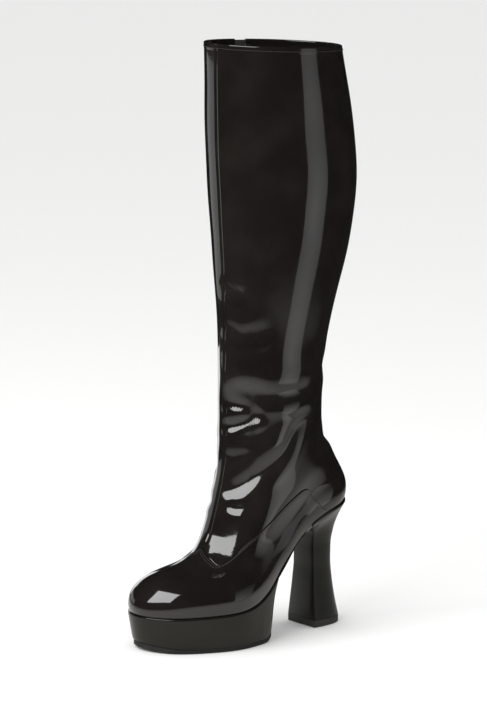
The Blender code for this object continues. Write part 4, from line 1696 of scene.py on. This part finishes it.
@dataclass
class HeelBlock:
    """Flared block heel with its cupped seat, and the rubber top piece under it."""

    shape: LastShape
    top_front: float = 163.0
    top_back: float = 214.4
    squareness: float = 2.4
    corner: float = 0.9
    corner_run: float = 0.024
    # how far the seat's rim stands proud, and how far its edge is drawn in and goes down
    rim: tuple = (0.4, 0.3, 1.6)
    seat_gap: float = 0.35
    tip_thick: float = 6.0
    rib_pitch: float = 3.4
    rib_depth: float = 0.5
    # the phases at a rib's edge, and what stays plain at the rim and the breast
    rib_edge: tuple = (0.28, 0.36)
    rib_rim: tuple = (1.5, 3.5)
    rib_front: tuple = (1.0, 3.0)
    rib_across: int = 24
    levels: int = 90

    def stations(self) -> tuple:
        """Shares of the depth from breast to back, and the outline (1 - share^n)^(1/n) there.

        Returns:
            The shares and the outline.
        """
        share = 1.0 - (1.0 - np.linspace(0.0, 0.985, 56)) ** 2
        share = np.union1d(share, [0.004, 0.010, 0.017, self.corner_run])
        return share, (1.0 - share**self.squareness) ** (1.0 / self.squareness)

    def softened(self, share: Array) -> Array:
        """How far the breast's two corners are drawn in."""
        return self.corner * np.clip(1.0 - share / self.corner_run, 0.0, 1.0) ** 2

    def block(self, look: bpy.types.Material) -> None:
        """Block: a monotone cubic through the table's D-shaped sections and the seat on the sole.

        Args:
            look: Its material.
        """
        share, outline = self.stations()
        front_z, back_z, breast, back, half = [column[:, None] for column in HEEL.T]
        d = breast + (back - breast) * share
        rows = np.stack([d, np.zeros_like(d), half * outline, front_z + (back_z - front_z) * share], -1)
        seat_d = self.top_front + (self.top_back - self.top_front) * share
        proud, inward, down = self.rim
        seat = self.shape.plan_half(seat_d, 0.0, self.top_back) + proud
        top = self.shape.sole_z(seat_d) - self.seat_gap
        centre = self.shape.centre(seat_d)
        edge = ((0.0, down), (inward, 0.0))
        seats = [np.stack([seat_d, centre, seat - c, top - h], -1) for c, h in edge]
        rows = np.concatenate([rows, seats])
        knots = np.arange(len(rows), dtype=float)
        loops = monotone(knots, rows, np.linspace(0.0, knots[-1], self.levels))
        loops[..., 2] -= self.softened(share)
        mesh = LoopSolid.mesh("heel_block", loops, 8, np.zeros((len(share), 9)), 42.0)
        Mesher.place(mesh, [look], Slot.HEEL, "heel")

    def tip(self, look: bpy.types.Material) -> None:
        """Top piece: the heel's lowest section, with a rounded lower edge and fine ribs underneath.

        Args:
            look: Its material.
        """
        share, outline = self.stations()
        _, _, breast, back, wide = HEEL[0]
        d = breast + (back - breast) * share
        half = wide * outline - self.softened(share)
        top = self.tip_thick
        # inset and height, from the rounded lower edge to the seam under the block
        edge = np.array([(0.35, 0.0), (0.12, 0.2), (0.0, 0.7), (0.0, top - 0.25), (0.2, top)])
        slim = np.clip(half / 3.0, 0.0, 1.0)
        loops = np.stack([np.stack([d, 0.0 * d, half - slim * c, 0.0 * d + h], -1) for c, h in edge])
        x = np.linspace(-1.0, 1.0, self.rib_across + 1)[None] * half[:, None]
        ribs = np.abs(np.mod((d[:, None] + x) / self.rib_pitch, 1.0) - 0.5)
        rim = smoothstep(*self.rib_rim, half[:, None] - np.abs(x))
        inside = rim * smoothstep(*self.rib_front, d - breast)[:, None]
        tread = self.rib_depth * smoothstep(*self.rib_edge, ribs) * inside
        mesh = LoopSolid.mesh("heel_top_piece", loops, self.rib_across, tread, 38.0)
        Mesher.place(mesh, [look], Slot.TIP, "heel_tip")


@dataclass(frozen=True)
class Lamp:
    """A soft lamp: a lit panel that faces the boot."""

    name: str
    azimuth: float
    elevation: float
    distance: float
    wide: float
    tall: float
    radiance: float
    aim: tuple = (0.0, 0.05, 0.20)
    spread: float = 180.0
    on_floor: bool = False

    def build(self, boot: bpy.types.Collection) -> None:
        """Adds the panel, whose power is its radiance times pi times its area.

        Args:
            boot: The boot's pieces, which alone are lit unless the lamp is for the floor too.
        """
        data = bpy.data.lights.new(self.name, "AREA")
        data.shape = "RECTANGLE"
        data.size = self.wide
        data.size_y = self.tall
        data.spread = math.radians(self.spread)
        data.energy = self.radiance * math.pi * self.wide * self.tall
        lamp = bpy.data.objects.new(self.name, data)
        bpy.context.scene.collection.objects.link(lamp)
        back = direction(self.azimuth, self.elevation)
        lamp.location = Vector(self.aim) + back * self.distance
        lamp.rotation_euler = back.to_track_quat("Z", "Y").to_euler()
        lamp.visible_camera = False
        if not self.on_floor:
            lamp.light_linking.receiver_collection = boot


def direction(azimuth: float, elevation: float) -> Vector:
    """Unit vector towards an azimuth (0 before the toe, 90 on the outer side) and an elevation."""
    a, e = math.radians(azimuth), math.radians(elevation)
    return Vector((math.sin(a) * math.cos(e), -math.cos(a) * math.cos(e), math.sin(e)))


@dataclass
class Studio:
    """Pale floor, soft lamps and the camera at the photograph's angle."""

    azimuth: float = 53.0
    elevation: float = 9.5
    distance: float = 3.2
    aim: tuple = (0.0, 0.040, 0.246)
    frame_height: float = 0.60
    sensor: float = 36.0
    floor_size: float = 60.0
    floor_lines: int = 9
    floor_drop: float = 0.0003
    seen: float = 0.97
    mirrored: float = 0.010
    fill: float = 0.95
    lamps: tuple = (
        Lamp("key_panel", 5.0, 38.0, 1.9, 1.65, 1.10, 5.0, on_floor=True),
        Lamp("strip_panel", 116.0, -15.0, 0.52, 0.26, 0.62, 0.10, (0.0, 0.07, 0.440), spread=70.0),
        Lamp("shin_panel", -75.0, 0.0, 1.6, 0.9, 0.36, 0.40, (0.0, 0.05, 0.18)),
        Lamp("rim_panel", -106.0, 5.0, 0.5, 0.20, 0.14, 1.3, (0.0, -0.03, 0.06)),
    )

    def floor(self) -> None:
        """A wide flat sheet under the boot."""
        spread = np.linspace(-self.floor_size / 2.0, self.floor_size / 2.0, self.floor_lines)
        x, y = np.meshgrid(spread, spread)
        points = np.stack([x, y, np.full_like(x, -self.floor_drop)], -1).reshape(-1, 3)
        quads = Mesher.grid_quads(self.floor_lines, self.floor_lines, False)
        mesh = Mesher.mesh("studio_floor", points, quads.reshape(-1, 4))
        mesh.materials.append(FloorFinish().build())
        sheet = bpy.data.objects.new("studio_floor", mesh)
        bpy.context.scene.collection.objects.link(sheet)

    def surround(self) -> None:
        """The room: pale to the eye, dark in mirrors, and an even soft light on what is matt."""
        world = bpy.data.worlds.new("studio")
        world.use_nodes = True
        bpy.context.scene.world = world
        tree = world.node_tree
        light = tree.nodes["Background"]
        path = tree.nodes.new("ShaderNodeLightPath")
        shades = []
        for strength in (self.seen, self.mirrored):
            shade = tree.nodes.new("ShaderNodeBackground")
            shade.inputs["Color"].default_value = (1.0, 1.0, 1.0, 1.0)
            shade.inputs["Strength"].default_value = strength
            shades.append(shade)
        light.inputs["Color"].default_value = (1.0, 1.0, 1.0, 1.0)
        light.inputs["Strength"].default_value = self.fill
        last = light.outputs[0]
        for ray, shade in zip(("Is Camera Ray", "Is Glossy Ray"), shades):
            mix = tree.nodes.new("ShaderNodeMixShader")
            tree.links.new(path.outputs[ray], mix.inputs[0])
            tree.links.new(last, mix.inputs[1])
            tree.links.new(shade.outputs[0], mix.inputs[2])
            last = mix.outputs[0]
        tree.links.new(last, tree.nodes["World Output"].inputs["Surface"])

    def camera(self) -> None:
        """A long lens at the photograph's angle, with the boot filling the frame's height."""
        data = bpy.data.cameras.new("studio_camera")
        data.sensor_fit = "VERTICAL"
        data.sensor_height = self.sensor
        data.lens = self.sensor * self.distance / self.frame_height
        data.clip_end = 200.0
        eye = bpy.data.objects.new("studio_camera", data)
        bpy.context.scene.collection.objects.link(eye)
        back = direction(self.azimuth, self.elevation)
        eye.location = Vector(self.aim) + back * self.distance
        eye.rotation_euler = back.to_track_quat("Z", "Y").to_euler()
        bpy.context.scene.camera = eye

    def build(self) -> None:
        """Adds it all and shows colours as they are."""
        boot = bpy.data.collections.new("boot_pieces")
        for piece in bpy.context.scene.objects:
            if piece.type == "MESH":
                boot.objects.link(piece)
        self.floor()
        self.surround()
        for lamp in self.lamps:
            lamp.build(boot)
        self.camera()
        bpy.context.scene.view_settings.view_transform = "Standard"


def dress_nodes(look: bpy.types.Material, *names: str) -> None:
    """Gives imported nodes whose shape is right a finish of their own.

    Args:
        look: The material.
        names: The nodes.
    """
    for name in names:
        for slot in frame["nodes"][name].material_slots:
            slot.material = look
        log.info("%s: packed shape with %s", name, look.name)


def main() -> None:
    """Builds every piece, its finish and the studio."""
    logging.basicConfig(level=logging.INFO, format="%(message)s")
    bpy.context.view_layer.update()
    shape = LastShape()
    upper = Upper(shape)
    patent = PatentFinish("upper_patent_gloss", creased=True).build()
    olive = {"base": (0.0070, 0.0068, 0.0048), "worn": (0.0135, 0.0130, 0.0098)}
    gloss = {"roughness": 0.14, "coat": 0.22, "specular": 0.3, "peel_depth": 0.00007}
    satin = {"roughness": 0.24, "coat": 0.12, "coat_roughness": 0.1, "specular": 0.28}
    cover = PatentFinish("platform_patent", **olive, **gloss).build()
    heel_look = PatentFinish("heel_satin_cover", **olive, **satin).build()
    lining = ClothFinish("lining_knit", (0.012, 0.011, 0.011), (0.035, 0.033, 0.031), 420.0).build()
    sock = ClothFinish("insole_cloth", (0.018, 0.016, 0.015), (0.045, 0.041, 0.038), 300.0, 0.6).build()
    tape = ClothFinish("zip_tape_weave", (0.010, 0.009, 0.008), (0.042, 0.038, 0.034), 620.0, 0.5).build()
    coil = ThreadFinish("zip_coil_nylon", (0.018, 0.016, 0.014), (0.050, 0.046, 0.041)).build()
    thread = ThreadFinish("upper_thread").build()

    upper.build(patent, lining)
    Sewing(upper).build(thread)
    zipped = Zip(upper)
    zipped.tape(tape)
    zipped.coil(coil)
    zipped.edges(patent)
    sole = Sole(shape)
    sole.platform(cover)
    sole.outsole(RubberFinish("outsole_moulded").build())
    sole.insole(sock)
    heel = HeelBlock(shape)
    heel.block(heel_look)
    heel.tip(RubberFinish("tip_moulded", (0.026, 0.025, 0.022), (0.055, 0.052, 0.047), 1900.0).build())
    dress_nodes(EnamelFinish("slider_enamel").build(), "zip_slider")
    dress_nodes(EnamelFinish("pull_enamel").build(), "zip_pull")
    Studio().build()


if __name__ == "__main__":
    main()
